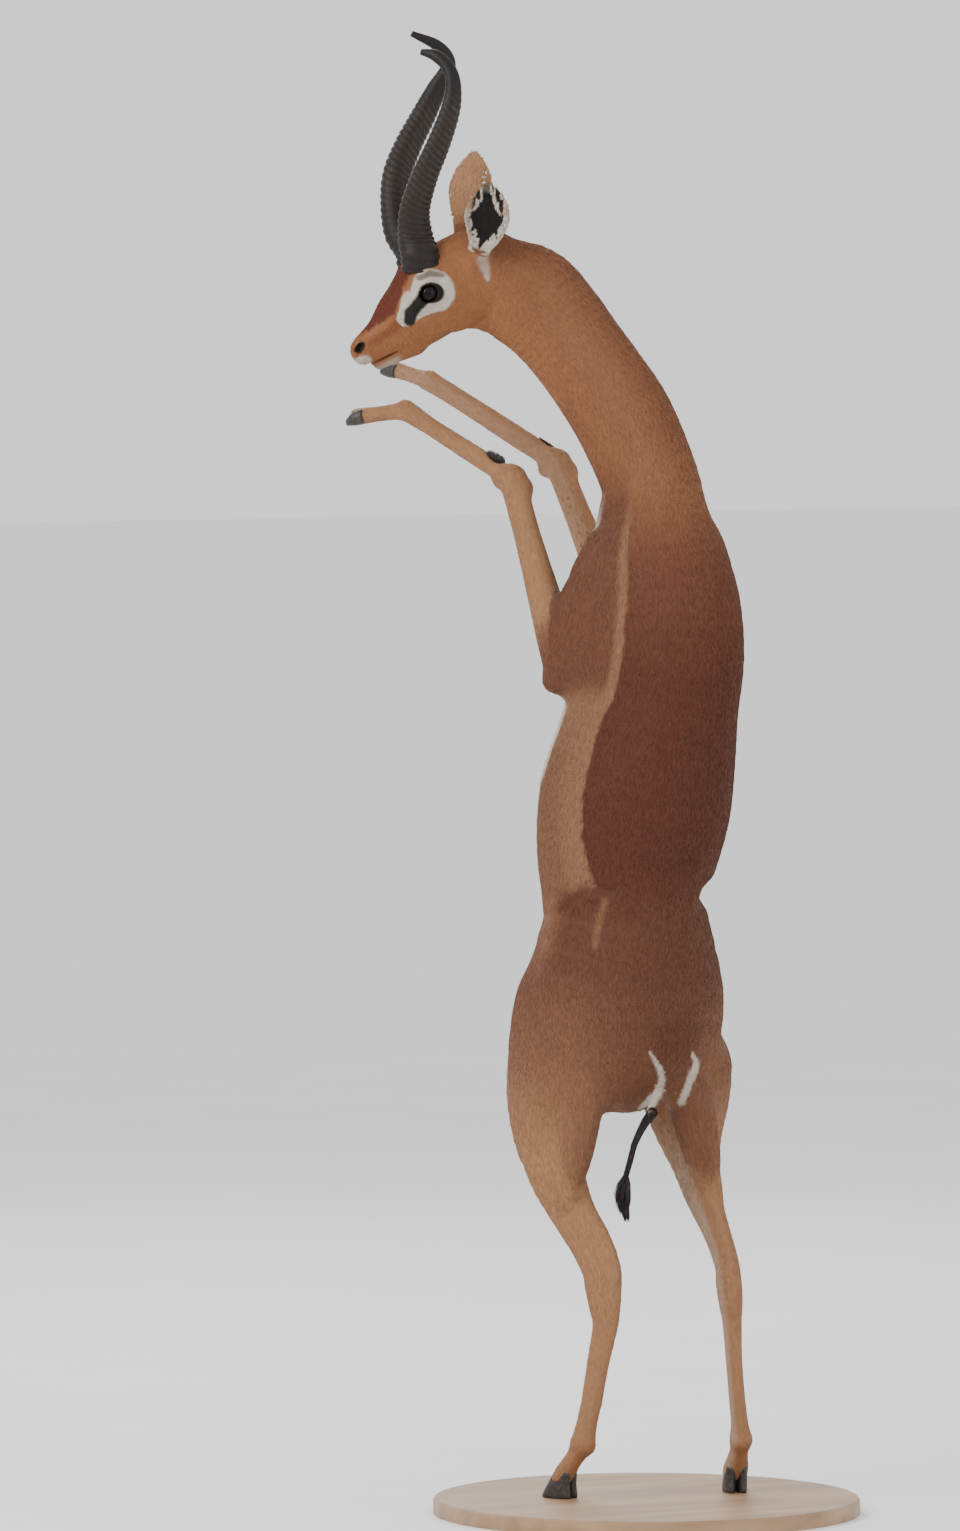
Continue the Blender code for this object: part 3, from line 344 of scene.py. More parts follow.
def foreleg_forms(side):
    """Return one raised foreleg, from the shoulder blade to the toes."""
    turn = FORE_TURN[side]
    shoulder, elbow, knee = SHOULDER[side], ELBOW[side], KNEE[side]
    fetlock, toe = FORE_FETLOCK[side], FORE_TOE[side]
    withers = {"left": at(62, 66, 1335), "right": at(95, 20, 1335)}[side]
    left = heading(turn)[1]

    def limb(start, finish, rows, blend):
        """Return a tube along a line with a half width, back and front at each share of it."""
        sections = [Section(start.lerp(finish, s), left, half, back, front)
                    for s, half, back, front in rows]
        return tube(sections, blend, 3)

    forearm = [(0, 26, 30, 28), (0.15, 25, 31, 27), (0.4, 22, 27, 23), (0.65, 19, 22, 19),
               (0.85, 18, 21, 18), (1, 18, 21, 17)]
    broad = {"left": 1, "right": 1.2}[side]
    cannon = [(0, 17, 18, 16), (0.12, 14, 15 * broad, 14), (0.4, 11.5 * broad, 15 * broad, 14),
              (0.75, 11.5 * broad, 14 * broad, 13), (0.93, 14, 16, 14), (1.0, 14, 16, 14)]
    pastern = [(0, 13, 14, 13), (0.5, 12, 12, 11), (1, 15, 13, 12)]
    heel = elbow + (elbow - knee).normalized() * 26 * MM
    bend = (elbow - knee).normalized() + (fetlock - knee).normalized() * 0.2
    knee_back = bend.cross(left).normalized()
    return [
        muscle(withers, shoulder, 46, 22, turn, 30),
        muscle(shoulder, elbow, 40, 27, turn, 26),
        muscle(shoulder.lerp(withers, 0.5), heel, 36, 26, turn, 26),
        limb(elbow, knee, forearm, 12),
        bar(elbow, ELBOW_POINT[side], 20, 15, 14),
        bar(SHOULDER_TOP[side], shoulder, 16, 22, 16),
        bar(knee, knee + knee_back * 0.017, 17, 15, 8),
        bar(knee, knee + (ACROSS * 13 - UP * 14) * MM, 17, 18, 10),
        limb(knee, fetlock, cannon, 8),
        limb(fetlock, toe, pastern, 6),
    ]


def hind_rows(side):
    """Return the sections of one hind leg from the fetlock up to the thigh."""
    if side == "left":
        places = [(-80, 3, 78), (-75, 6, 110), (-68, 8, 140), (-60, 12, 190), (-50, 17, 245),
                  (-51, 17, 272), (-55, 13, 300), (-59, 7, 325), (-73, -9, 357),
                  (-90, -29, 389), (-105, -46, 421), (-118, -62, 458), (-124, -74, 507),
                  (-122, -72, 560), (-112, -50, 610)]
        turns = [55, 55, 55, 55, 55, 55, 55, 54, 53, 50, 48, 45, 40, 36, 32]
    else:
        places = [(143, -54, 78), (140, -53, 110), (137, -52, 140), (133, -50, 190),
                  (130, -47, 245), (128, -45, 272), (125, -48, 300), (122, -55, 325),
                  (112, -72, 357), (101, -93, 389), (90, -115, 421), (82, -134, 458),
                  (72, -150, 507), (66, -148, 560), (60, -125, 610)]
        turns = [12, 12, 12, 12, 12, 12, 12, 12, 12, 13, 14, 16, 20, 25, 30]
    widths = [(15, 19, 18), (12.5, 18, 15), (12, 18, 16), (12, 19, 17), (14, 22, 19),
              (17, 28, 23), (18, 35, 25), (16, 39, 27), (16, 41, 29), (19, 40, 33),
              (25, 42, 39), (32, 50, 48), (42, 66, 60), (52, 84, 72), (60, 96, 84)]
    return [body_section(*place, *width, turn)
            for place, width, turn in zip(places, widths, turns)]


def hind_toe(side):
    """Return the middle of the hoof's crown and the foot's level direction forward."""
    ahead = heading(HIND_TURN[side])[0]
    return HIND_FETLOCK[side] + (ahead * 27 - UP * 38) * MM, ahead


def hindleg_forms(side):
    """Return one hind leg and its thigh and seat muscles."""
    crown, ahead = hind_toe(side)
    left = heading(HIND_TURN[side])[1]
    pastern = [Section(crown - UP * 12 * MM + ahead * 8 * MM, left, 19, 14, 14),
               Section(crown, left, 18, 14, 14),
               Section(crown.lerp(HIND_FETLOCK[side], 0.5), left, 14, 14, 13),
               Section(HIND_FETLOCK[side], left, 15, 19, 17)]
    seat = {"left": at(-66, 36, 630), "right": at(58, -12, 625)}[side]
    calf = {"left": at(-102, -14, 430), "right": at(96, -80, 440)}[side]
    flank = {"left": at(-95, -60, 760), "right": at(10, -130, 760)}[side]
    inner = {"left": 22, "right": 28}[side]
    hip, hip_radius = {"left": (at(-110, -38, 670), 66), "right": (at(56, -60, 690), 52)}[side]
    return [
        tube(hind_rows(side), 22, 3),
        tube(pastern, 8, 2),
        muscle(HIP[side] + UP * 0.06, STIFLE[side], 76, 44, 32, 40),
        muscle(seat, calf, 38, inner, 32, 28),
        muscle(flank, STIFLE[side], 40, 26, 32, 40),
        blob(hip, (hip_radius, 58, 84), (ACROSS, TOWARD, UP), 30),
    ]


def waist_form():
    """Return the hollow that creases the right side of the waist."""
    return blob(at(110, -5, 850), (32, 56, 18), (ACROSS, TOWARD, UP), 14, joins=False)


def blend_in(field, other, joins, blend):
    """Return two fields joined, or the second carved from the first, with a soft edge."""
    if not joins:
        return -blend_in(-field, other, True, blend)
    soft = np.maximum(blend - np.abs(field - other), 0)
    return np.minimum(field, other) - soft * soft / (4 * blend)


def grid_field(forms, low, high, step):
    """Return the field of the forms on a grid, below zero inside."""
    far = 0.06
    shape = np.ceil((high - low) / step).astype(int) + 1
    axes = [low[i] + step * np.arange(shape[i]) for i in range(3)]
    field = np.full(shape, far)
    for form in forms:
        own = np.full(shape, far)
        least, most = shape.copy(), np.zeros(3, dtype=int)
        for part in form.parts:
            first = np.maximum(np.floor((part.low - low) / step).astype(int), 0)
            last = np.minimum(np.ceil((part.high - low) / step).astype(int) + 1, shape)
            if np.any(last <= first):
                continue
            least, most = np.minimum(least, first), np.maximum(most, last)
            cut = tuple(slice(a, b) for a, b in zip(first, last))
            x = axes[0][cut[0]][:, None, None]
            y = axes[1][cut[1]][None, :, None]
            z = axes[2][cut[2]][None, None, :]
            own[cut] = np.minimum(own[cut], part.distance(x, y, z))
        if np.any(most <= least):
            continue
        box = tuple(slice(a, b) for a, b in zip(least, most))
        field[box] = blend_in(field[box], own[box], form.joins, form.blend)
    return field


def corner_views(field):
    """Return the eight views of a grid that hold each cell's corners."""
    nx, ny, nz = field.shape
    return {(i, j, k): field[i:nx - 1 + i, j:ny - 1 + j, k:nz - 1 + k]
            for i in (0, 1) for j in (0, 1) for k in (0, 1)}


def settle(field):
    """Fill each cell in which two sheets of the surface would touch."""
    for _ in range(12):
        inside = corner_views(field < 0)
        odd = np.zeros(inside[0, 0, 0].shape, dtype=bool)
        for axis in range(3):
            for level in (0, 1):
                ring = []
                for pair in ((0, 0), (0, 1), (1, 1), (1, 0)):
                    key = list(pair)
                    key.insert(axis, level)
                    ring.append(inside[tuple(key)])
                odd |= (ring[0] == ring[2]) & (ring[1] == ring[3]) & (ring[0] != ring[1])
        count = sum(view.astype(np.int8) for view in inside.values())
        for key, view in inside.items():
            opposite = inside[tuple(1 - c for c in key)]
            odd |= (view == opposite) & ((count == 2) & view | (count == 6) & ~view)
        if not odd.any():
            return
        for key, view in corner_views(field).items():
            view[odd] = np.minimum(view[odd], -1e-5)


def surface(field, low, step):
    """Return the corners and the four-sided faces of the field's zero surface."""
    settle(field)
    inside = field < 0
    count = sum(view.astype(np.int8) for view in corner_views(inside).values())
    cells = np.argwhere((count > 0) & (count < 8))
    number = np.full(count.shape, -1, dtype=np.int64)
    number[tuple(cells.T)] = np.arange(len(cells))
    total = np.zeros((len(cells), 3))
    hits = np.zeros(len(cells))
    faces = []
    for axis in range(3):
        side_a, side_b = (axis + 1) % 3, (axis + 2) % 3
        unit = np.zeros(3, dtype=int)
        unit[axis] = 1
        for a in (0, 1):
            for b in (0, 1):
                offset = np.zeros(3, dtype=int)
                offset[side_a], offset[side_b] = a, b
                start = field[tuple((cells + offset).T)]
                end = field[tuple((cells + offset + unit).T)]
                crosses = (start < 0) != (end < 0)
                share = np.where(crosses, start / np.where(crosses, start - end, 1), 0)
                total += np.where(crosses[:, None], offset + share[:, None] * unit, 0)
                hits += crosses
        ahead = np.roll(inside, -1, axis)
        edges = np.argwhere(inside != ahead)
        keep = (edges[:, side_a] > 0) & (edges[:, side_b] > 0)
        keep &= (edges < np.array(field.shape) - 1).all(axis=1)
        edges = edges[keep]
        ring = []
        for a, b in ((-1, -1), (0, -1), (0, 0), (-1, 0)):
            offset = np.zeros(3, dtype=int)
            offset[side_a], offset[side_b] = a, b
            ring.append(number[tuple((edges + offset).T)])
        ring = np.stack(ring, axis=1)
        outward = inside[tuple(edges.T)]
        ring[~outward] = ring[~outward][:, ::-1]
        faces.append(ring)
    return low + step * (cells + total / hits[:, None]), np.vstack(faces)


# The ears' sections at shares of their length, and the thickness of their wall
EAR_SHARES = (0, 0.1, 0.22, 0.36, 0.5, 0.64, 0.78, 0.9, 1)
EAR_HALVES = (14, 17, 23, 29, 32, 30, 25, 17, 8)
EAR_DEPTHS = (14, 14, 14, 14, 14, 13, 10, 6, 4)
EAR_FRONTS = (12, 12, 12, 13, 13, 12, 9, 5, 3)
EAR_WALL = 2.9
EAR_BACK = 14


def ear_root(side):
    """Return the middle of the ear's root and its way out."""
    return head_at(*EAR_ROOT[side]), head_way(-0.52, 0.80 * SIGN[side], 0.90)


def ear_spine(side):
    """Return the ear's spine with the opening's and the side's direction at shares of its length."""
    root, out = ear_root(side)
    tip = EAR_TIP[side]
    opening = {"left": TOWARD * 0.98 - ACROSS * 0.1 + UP * 0.1,
               "right": -TOWARD * 0.95 - ACROSS * 0.2 + UP * 0.1}[side].normalized()
    bend = root.lerp(tip, 0.5) + out * 10 * MM + ACROSS * 9 * MM
    spine = []
    for share in EAR_SHARES:
        place = root * (1 - share) ** 2 + bend * 2 * share * (1 - share) + tip * share ** 2
        ahead = ((bend - root) * (1 - share) + (tip - bend) * share).normalized()
        open_way = (opening - ahead * opening.dot(ahead)).normalized()
        spine.append((place, ahead, open_way, ahead.cross(open_way)))
    return spine


def ear_forms(side):
    """Return one cupped ear and its hollow."""
    shell, hollow = [], []
    for (place, _, opening, across), half, deep, front in zip(
            ear_spine(side), EAR_HALVES, EAR_DEPTHS, EAR_FRONTS):
        centre = place - opening * (EAR_BACK - deep) * MM
        shell.append(Section(centre, across, half, deep, front))
        hollow.append(Section(centre, across, max(half - EAR_WALL, 1), max(deep - EAR_WALL, 1), 34))
    cup = tube(hollow[2:-2], 1.2)
    return [tube(shell, 7), Form(False, cup.blend, cup.parts)]


def socket_forms(side):
    """Return the hollow behind the lids, and one nostril and its side of the mouth line."""
    sign = SIGN[side]
    socket = blob(eye_axes(side)[0], (EYE_RADIUS + GAP,) * 3, (FORWARD, LEFT, TOP), 0.8, False)
    nostril = head_blob((116, sign * 10, -22), (7, 3.4, 4.6), 2, False)
    mouth = head_blob((97, sign * 18, -51.5), (27, 9, 1.5), 1.5, False)
    return [socket, nostril, mouth]


# The crease of the left flank
FOLD = (at(-114, 48, 832), at(-75, 83, 863), at(-47, 97, 857))


def skin_forms():
    """Return every form of the skin, first those that join and then those that carve."""
    forms = [trunk_form(), *head_forms()]
    for side in SIGN:
        forms.extend(foreleg_forms(side))
        forms.extend(hindleg_forms(side))
    forms.append(bar(TAIL_ROOT, TAIL_ROOT + TAIL_WAY * 0.045, 12, 8, 16))
    forms.append(waist_form())
    for side in SIGN:
        forms.extend(lid_forms(side))
        forms.extend(ear_forms(side))
        forms.extend(socket_forms(side))
    forms.append(head_blob((119, 0, -51), (9, 14, 1.5), 1.5, False))
    forms += [bar(start, finish, 8, 8, 6, joins=False) for start, finish in zip(FOLD, FOLD[1:])]
    return forms


def new_object(name, data):
    """Link a mesh, a light or a camera to the scene as a named object."""
    obj = bpy.data.objects.new(name, data)
    bpy.context.scene.collection.objects.link(obj)
    return obj


def mesh_object(name, corners, faces):
    """Make an object from corners and faces, smooth."""
    mesh = bpy.data.meshes.new(name)
    mesh.from_pydata(np.asarray(corners).tolist(), [], faces)
    mesh.update()
    mesh.shade_smooth()
    return new_object(name, mesh)


def field_mesh(forms, low, high, step):
    """Return the forms' surface within a box as an editable mesh, a coat's depth inside them."""
    field = grid_field(forms, np.array(low), np.array(high), step * MM) + COAT_DEPTH * MM
    for axis in range(3):
        sheets = np.moveaxis(field, axis, 0)
        sheets[[0, -1]] = np.maximum(sheets[[0, -1]], step * MM)
    corners, faces = surface(field, np.array(low), step * MM)
    bm = bmesh.new()
    verts = [bm.verts.new(c) for c in corners.tolist()]
    for face in faces.tolist():
        bm.faces.new([verts[i] for i in face])
    return bm


def joined_to(bm, seed, passes=lambda vert: True):
    """Return the corners that pass a test and join the one nearest to the seed point."""
    start = min(bm.verts, key=lambda v: (v.co - seed).length_squared)
    found, queue = {start}, [start]
    while queue:
        for edge in queue.pop().link_edges:
            for vert in edge.verts:
                if vert not in found and passes(vert):
                    found.add(vert)
                    queue.append(vert)
    return found


def keep_near(bm, seed):
    """Keep only the connected surface whose corner is nearest to the seed point."""
    kept = joined_to(bm, seed)
    bmesh.ops.delete(bm, geom=[v for v in bm.verts if v not in kept], context="VERTS")


def cut_off(bm, point, way, seed):
    """Cut away what joins the seed on the side of a plane that the way points to."""
    geometry = bm.verts[:] + bm.edges[:] + bm.faces[:]
    bmesh.ops.bisect_plane(bm, geom=geometry, plane_co=point, plane_no=way, dist=1e-5)
    gone = joined_to(bm, seed, lambda v: (v.co - point).dot(way) > 2e-5)
    bmesh.ops.delete(bm, geom=list(gone), context="VERTS")


# Half the gap that the seam bridges, and how far the fine half reaches round the head
SEAM_HALF = 1.5 * MM
HEAD_REACH = 210 * MM


def make_skin():
    """Make the one skin of the body, the head and the ears, from a coarse and a fine half."""
    forms = skin_forms()
    seam, way = at(-92, -41, 1615), (at(-119, -48, 1651) - at(-87, -40, 1609)).normalized()
    middle = np.array(at(*BASE_CENTRE, 0))
    head_low = np.array(head_at(-60, 0, 10)) - HEAD_REACH
    head_high = np.array(head_at(-60, 0, 40)) + HEAD_REACH
    body = (middle + np.array((-0.45, -0.55, 0.005)), middle + np.array((0.45, 0.35, 1.80)),
            BODY_GRID, way, head_at(0, 0, 60), at(28, 90, 1000))
    head = (head_low, head_high, HEAD_GRID, -way, at(-60, 45, 1561), head_at(40, 0, 20))
    both = bmesh.new()
    for low, high, grid, away, waste, seed in (body, head):
        half = field_mesh(forms, low, high, grid)
        cut_off(half, seam - away * SEAM_HALF, away, waste)
        keep_near(half, seed)
        mesh = bpy.data.meshes.new("half")
        half.to_mesh(mesh)
        half.free()
        both.from_mesh(mesh)
        bpy.data.meshes.remove(mesh)
    bmesh.ops.bridge_loops(both, edges=[e for e in both.edges if e.is_boundary])
    bmesh.ops.recalc_face_normals(both, faces=both.faces)
    mesh = bpy.data.meshes.new("skin")
    both.to_mesh(mesh)
    both.free()
    mesh.shade_smooth()
    return new_object("skin", mesh)


# Bones guide the lie of the coat, the markings and the chart of the coat's own map
Bone = namedtuple("Bone", "name points lefts radii sign chart")


def make_bone(name, rows, sign, chart):
    """Return a bone from rows of a point, a left direction and a radius."""
    points = np.array([tuple(r[0]) for r in rows])
    lefts = np.array([tuple(r[1]) for r in rows])
    return Bone(name, points, lefts, np.array([r[2] for r in rows]) * MM, sign, chart)


def body_bones():
    """Return the bones of the trunk with neck and head, the legs and the ears, each from its upper end."""
    trunk = [(head_at(112, 0, -30), LEFT, 19), (head_at(60, 0, -28), LEFT, 32),
             (head_at(0, 0, -12), LEFT, 50), (head_at(-60, 0, -5), LEFT, 52)]
    for across, deep, up, radius, turn in (
            (-160, -52, 1680, 56, 92), (-87, -40, 1609, 58, 73), (-19, -12, 1506, 64, 60),
            (13, 2, 1428, 66, 54), (17, 10, 1372, 76, 50), (21, 12, 1320, 94, 47), (28, 10, 1260, 108, 45),
            (29, 5, 1190, 114, 43), (21, -2, 1120, 118, 41), (9, -8, 1044, 130, 39),
            (-4, -15, 977, 135, 37), (-16, -20, 907, 128, 35), (-27, -24, 847, 110, 33),
            (-19, -27, 801, 118, 32), (-19, -30, 714, 124, 31), (-21, -30, 655, 115, 30),
            (-17, -28, 600, 90, 30)):
        trunk.append((at(across, deep, up), heading(turn)[1], radius))
    bones = [make_bone("trunk", trunk, -1, (0, 0, 0.5, 1))]
    for index, side in enumerate(SIGN):
        left = heading(FORE_TURN[side])[1]
        fore = [(SHOULDER[side], left, 45), (ELBOW[side], left, 34),
                (ELBOW[side].lerp(KNEE[side], 0.5), left, 20), (KNEE[side], left, 18),
                (FORE_FETLOCK[side], left, 14), (FORE_TOE[side], left, 14)]
        bones.append(make_bone("fore_" + side, fore, 1, (0.5 + 0.25 * index, 0, 0.25, 0.4)))
        rows = hind_rows(side)[::-1]
        hind = [(r.centre, r.left, (r.half + r.back) / 2) for r in rows]
        hind.append((hind_toe(side)[0], heading(HIND_TURN[side])[1], 17))
        bones.append(make_bone("hind_" + side, hind, -1, (0.5 + 0.25 * index, 0.4, 0.25, 0.4)))
        spine = ear_spine(side)
        ear = [(place, across, half) for (place, _, _, across), half in zip(spine, EAR_HALVES)]
        bones.append(make_bone("ear_" + side, ear, 1, (0.5 + 0.25 * index, 0.8, 0.25, 0.2)))
    return bones


def unit(vectors):
    """Return the vectors at length one."""
    return vectors / np.maximum(np.linalg.norm(vectors, axis=1), 1e-9)[:, None]


def along_bone(bone, points):
    """Return the points' reach in radii, and their length along, angle round and way on a bone."""
    best = np.full(len(points), np.inf)
    along, angle = np.zeros(len(points)), np.zeros(len(points))
    ways = np.zeros((len(points), 3))
    done = 0.0
    steps = zip(bone.points, bone.points[1:], bone.lefts, bone.lefts[1:], bone.radii, bone.radii[1:])
    for start, finish, left_a, left_b, radius_a, radius_b in steps:
        step = finish - start
        length = float(np.sqrt((step * step).sum()))
        way = step / length
        t = np.clip((points - start) @ way / length, 0, 1)
        off = points - start - t[:, None] * step
        left = (1 - t)[:, None] * left_a + t[:, None] * left_b
        left = unit(left - (left @ way)[:, None] * way)
        back = bone.sign * np.cross(way, left)
        far = np.sqrt((off * off).sum(axis=1)) / (radius_a + t * (radius_b - radius_a))
        near = far < best
        best[near] = far[near]
        along[near] = (done + t * length)[near]
        angle[near] = np.arctan2((off * left).sum(axis=1), (off * back).sum(axis=1))[near]
        ways[near] = way
        done += length
    return best, along / done, angle, ways


Lie = namedtuple("Lie", "owner reach along angle ways")


def part_of(lie, own):
    """Return the lie at some of the points."""
    return Lie(lie.owner[own], lie.reach[:, own], lie.along[:, own], lie.angle[:, own], lie.ways[own])


def lie_of(points):
    """Return each point's bone, its place on every bone and the way that the coat lies there."""
    found = [along_bone(bone, points) for bone in BONES]
    reach_all = np.stack([f[0] for f in found])
    for index, bone in enumerate(BONES):
        if bone.name.startswith("ear"):
            reach_all[index][found[index][1] <= 0.03] = 9
    owner = np.argmin(reach_all, axis=0)
    weight = np.maximum(reach_all, 0.05) ** -8
    ways = sum(w[:, None] * f[3] for w, f in zip(weight, found))
    along, angle = np.stack([f[1] for f in found]), np.stack([f[2] for f in found])
    return Lie(owner, reach_all, along, angle, unit(ways))


BONES = body_bones()
NAMES = [bone.name for bone in BONES]


def ramp(value, start, finish):
    """Return a soft step from nought at the start to one at the finish."""
    t = np.clip((value - start) / (finish - start), 0, 1)
    return t * t * (3 - 2 * t)


def fall(value, start, finish):
    """Return a soft step from one at the start to nought at the finish."""
    return ramp(-value, -finish, -start)


def ripple(points, scale, seed):
    """Return a smooth irregular value for each point, mostly from -1 to 1, at the scale in metres."""
    rng = np.random.default_rng(seed)
    total = np.zeros(len(points))
    for _ in range(6):
        way = rng.normal(size=3)
        total += np.sin(points @ (way / np.linalg.norm(way)) * (2 * math.pi / scale)
                        * rng.uniform(0.6, 1.6) + rng.uniform(0, 6.3))
    return total / 3


# Colours of the coat, in linear red, green and blue
SADDLE = (0.080, 0.0235, 0.0115)
WITHERS = (0.118, 0.040, 0.0195)
# The shoulder's brown, partly the coat's own colour and partly painted shade of the muscle bulge
SHOULDER_BROWN_AND_SHADE = (0.122, 0.047, 0.024)
NECK = (0.205, 0.082, 0.037)
FLANK = (0.205, 0.103, 0.053)
# Painted shade: the darker brown of the lower belly side
BELLY_SIDE_SHADE = (0.165, 0.073, 0.037)
RUMP = (0.102, 0.037, 0.019)
THIGH = (0.180, 0.080, 0.042)
FAWN = (0.300, 0.150, 0.074)
CHEEK = (0.260, 0.104, 0.043)
EAR_TAN = (0.350, 0.180, 0.093)
BROW = (0.100, 0.052, 0.032)
WHITE = (0.500, 0.440, 0.375)
BLACK = (0.008, 0.0065, 0.0055)
BLAZE = (0.105, 0.024, 0.010)


def mix(colour, other, share):
    """Return the colours moved toward another by a share at each point."""
    return colour + (np.array(other) - colour) * share[:, None]


def painted(colour, *layers):
    """Return the colours moved toward each layer's colour in turn, by the layer's share."""
    for other, share in layers:
        colour = mix(colour, other, share)
    return colour


def view_place(points):
    """Return the points' places across, deep and up in the view's frame, in millimetres."""
    across = points @ np.array(ACROSS) / MM + BASE_CENTRE[0]
    deep = points @ np.array(TOWARD) / MM + BASE_CENTRE[1]
    return across, deep, points[:, 2] / MM - SOLE


def head_place(points):
    """Return the points' places ahead, to the left and above in the head's frame, in millimetres."""
    off = (points - np.array(at(*HEAD_PLACE))) / MM
    return off @ np.array(FORWARD), off @ np.array(LEFT), off @ np.array(TOP)


def spot(offsets, radii):
    """Return the reach of an oval spot: one on its edge and nought at its middle."""
    return np.sqrt(sum((o / r) ** 2 for o, r in zip(offsets, radii)))


# Markings of the head as ahead, above and half width
PATCH = ((-3, 7, 31.5), (20, 2, 21.5), (43, -11, 13))
TEAR = ((15, 6, 10), (27, -1, 9), (36, -9, 9), (41, -17, 8))
# The blaze's lower edge as ahead and above, and the cosine and sine of the lids' slant
BLAZE_EDGE = ((-14, 48), (13, 37), (31, 21), (56, -2), (75, -5), (100, -9), (112, -14))
EYE_SLANT = (0.894, 0.447)


def head_colour(colour, points):
    """Paint the head's markings."""
    ahead, side, above = head_place(points)
    wide = np.abs(side)
    wave = ripple(points, 0.012, 5)
    edge = np.interp(ahead, *zip(*BLAZE_EDGE))
    blaze = ramp(above - edge + 1.2 * wave, -1, 4)
    streak = trail(ahead, above, ((50, -13, 8), (74, -20, 6), (100, -22, 6)))
    patch = trail(ahead, above, PATCH) + 0.03 * wave
    brow = trail(ahead, above, ((-27, 20, 3), (-12, 31, 4), (5, 32, 3))) + 0.1 * wave
    tear = trail(ahead, above, TEAR) + 0.05 * wave
    raised = above - 7
    long = EYE_SLANT[0] * ahead + EYE_SLANT[1] * raised
    high = EYE_SLANT[0] * raised - EYE_SLANT[1] * ahead
    lid = spot((long, high, wide - 42), (20.5, 15.5, 24))
    chin = ramp(-above, 55, 62) * ramp(ahead, 66, 78)
    lips = fall(spot((ahead - 121, above + 42, side), (12, 11, 30)), 0.8, 1.15)
    mouth = spot((ahead - 101, above + 51.5), (25, 1.8))
    nostril = trail(ahead, above, ((121, -24, 5), (113, -19, 4)))
    root = trail(ahead, above, ((-87, 16, 9), (-85, -2, 6), (-82, -14, 3))) + 0.1 * wave
    return painted(
        colour,
        (CHEEK, ramp(ahead, -125, -70)),
        (BLAZE, blaze * ramp(ahead, -14, 4) * fall(ahead, 100, 116)),
        (BLAZE, 0.45 * fall(streak, 0.4, 1.6)),
        (WHITE, fall(patch, 0.92, 1.06) * ramp(wide, 17, 22) * (1 - 0.9 * blaze)),
        (BROW, 0.75 * fall(brow, 0.6, 1.6) * ramp(wide, 20, 26)),
        (BLACK, 0.985 * fall(tear, 0.8, 1.2) * ramp(wide, 12, 18)),
        (BLACK, fall(lid, 0.92, 1.08) * ramp(wide, 12, 18)),
        (WHITE, np.maximum(0.5 * chin, 0.85 * lips)),
        (BLAZE, 0.7 * fall(mouth, 0.8, 1.3)),
        (BLACK, fall(nostril, 0.85, 1.15) * ramp(wide, 2, 4)),
        (WHITE, 0.6 * fall(root, 0.4, 1.7) * ramp(wide, 34, 40)))


# The black leaf's half width at shares of the ear's length
EAR_LEAF = ((0.04, 0.05), (0.14, 0.20), (0.26, 0.46), (0.42, 0.70), (0.6, 0.78), (0.78, 0.76), (0.90, 0.6))


def ear_colour(colour, points, normals, side):
    """Paint one ear: tan behind, and white with a black leaf inside."""
    share, across = ear_place(points, side)
    opening = np.array(ear_spine(side)[4][2])
    inside = ramp(normals @ opening, -0.15, 0.25) * ramp(share, 0.05, 0.10)
    wave = 0.04 * ripple(points, 0.006, 8)
    half = np.interp(share, *zip(*EAR_LEAF))
    leaf = ramp(half - np.abs(across + 0.04) + wave, 0, 0.07) * fall(share, 0.90, 0.97)
    front = trail(share * 3, across, ((1.8, -0.70, 0.05), (2.2, -0.46, 0.07), (2.6, -0.36, 0.05))) + wave
    rear = trail(share * 3, across, ((1.8, 0.58, 0.05), (2.1, 0.34, 0.08), (2.7, 0.26, 0.09))) + wave
    pale = np.maximum(fall(front, 0.8, 1.3), fall(rear, 0.8, 1.3))
    rim = ramp(share, 0.50, 0.70) * ramp(np.abs(across), 0.62, 0.85)
    return painted(
        colour,
        (EAR_TAN, ramp(share, 0.05, 0.35)),
        (WHITE, inside),
        (BLACK, leaf * (1 - 0.9 * pale) * inside),
        (EAR_TAN, 0.75 * (rim * inside)),
        (BROW, 0.8 * (ramp(share, 0.90, 0.96) * inside)))


def ear_place(points, side):
    """Return the points' shares along one ear and their places across it, from -1 at its front edge."""
    own = BONES[NAMES.index("ear_" + side)]
    _, share, _, _ = along_bone(own, points)
    length = np.concatenate([[0], np.cumsum(np.linalg.norm(np.diff(own.points, axis=0), axis=1))])
    length /= length[-1]
    centre, left = (np.stack([np.interp(share, length, rows[:, i]) for i in range(3)], axis=1)
                    for rows in (own.points, own.lefts))
    half = np.interp(share, length, own.radii)
    return share, SIGN[side] * ((points - centre) * left).sum(axis=1) / half


# The saddle's edge as degrees round the trunk at each height, and the white stripes of the rump
SADDLE_EDGE = ((600, 65), (781, 60), (826, 66), (858, 60), (867, 58), (903, 64), (934, 71), (966, 75),
               (1015, 80), (1060, 84), (1095, 84), (1123, 79), (1263, 76), (1330, 75))
WHITE_STRIPES = {
    "left": ((13, 634, 1.5), (22, 618, 2.8), (30, 603, 4.2), (29, 585, 5.5), (17, 566, 6.0), (3, 550, 4.0)),
    "right": ((73, 627, 2.2), (79, 614, 4.5), (74, 599, 5.5), (66, 579, 5.0), (58, 556, 4.0)),
}


def trail(across, up, places):
    """Return how near the points come to a line on a plane, in its own half widths."""
    best = np.full(len(across), 9.0)
    for (a0, u0, r0), (a1, u1, r1) in zip(places, places[1:]):
        da, du = a1 - a0, u1 - u0
        t = np.clip(((across - a0) * da + (up - u0) * du) / (da * da + du * du), 0, 1)
        gap = np.hypot(across - a0 - t * da, up - u0 - t * du)
        best = np.minimum(best, gap / (r0 + t * (r1 - r0)))
    return best


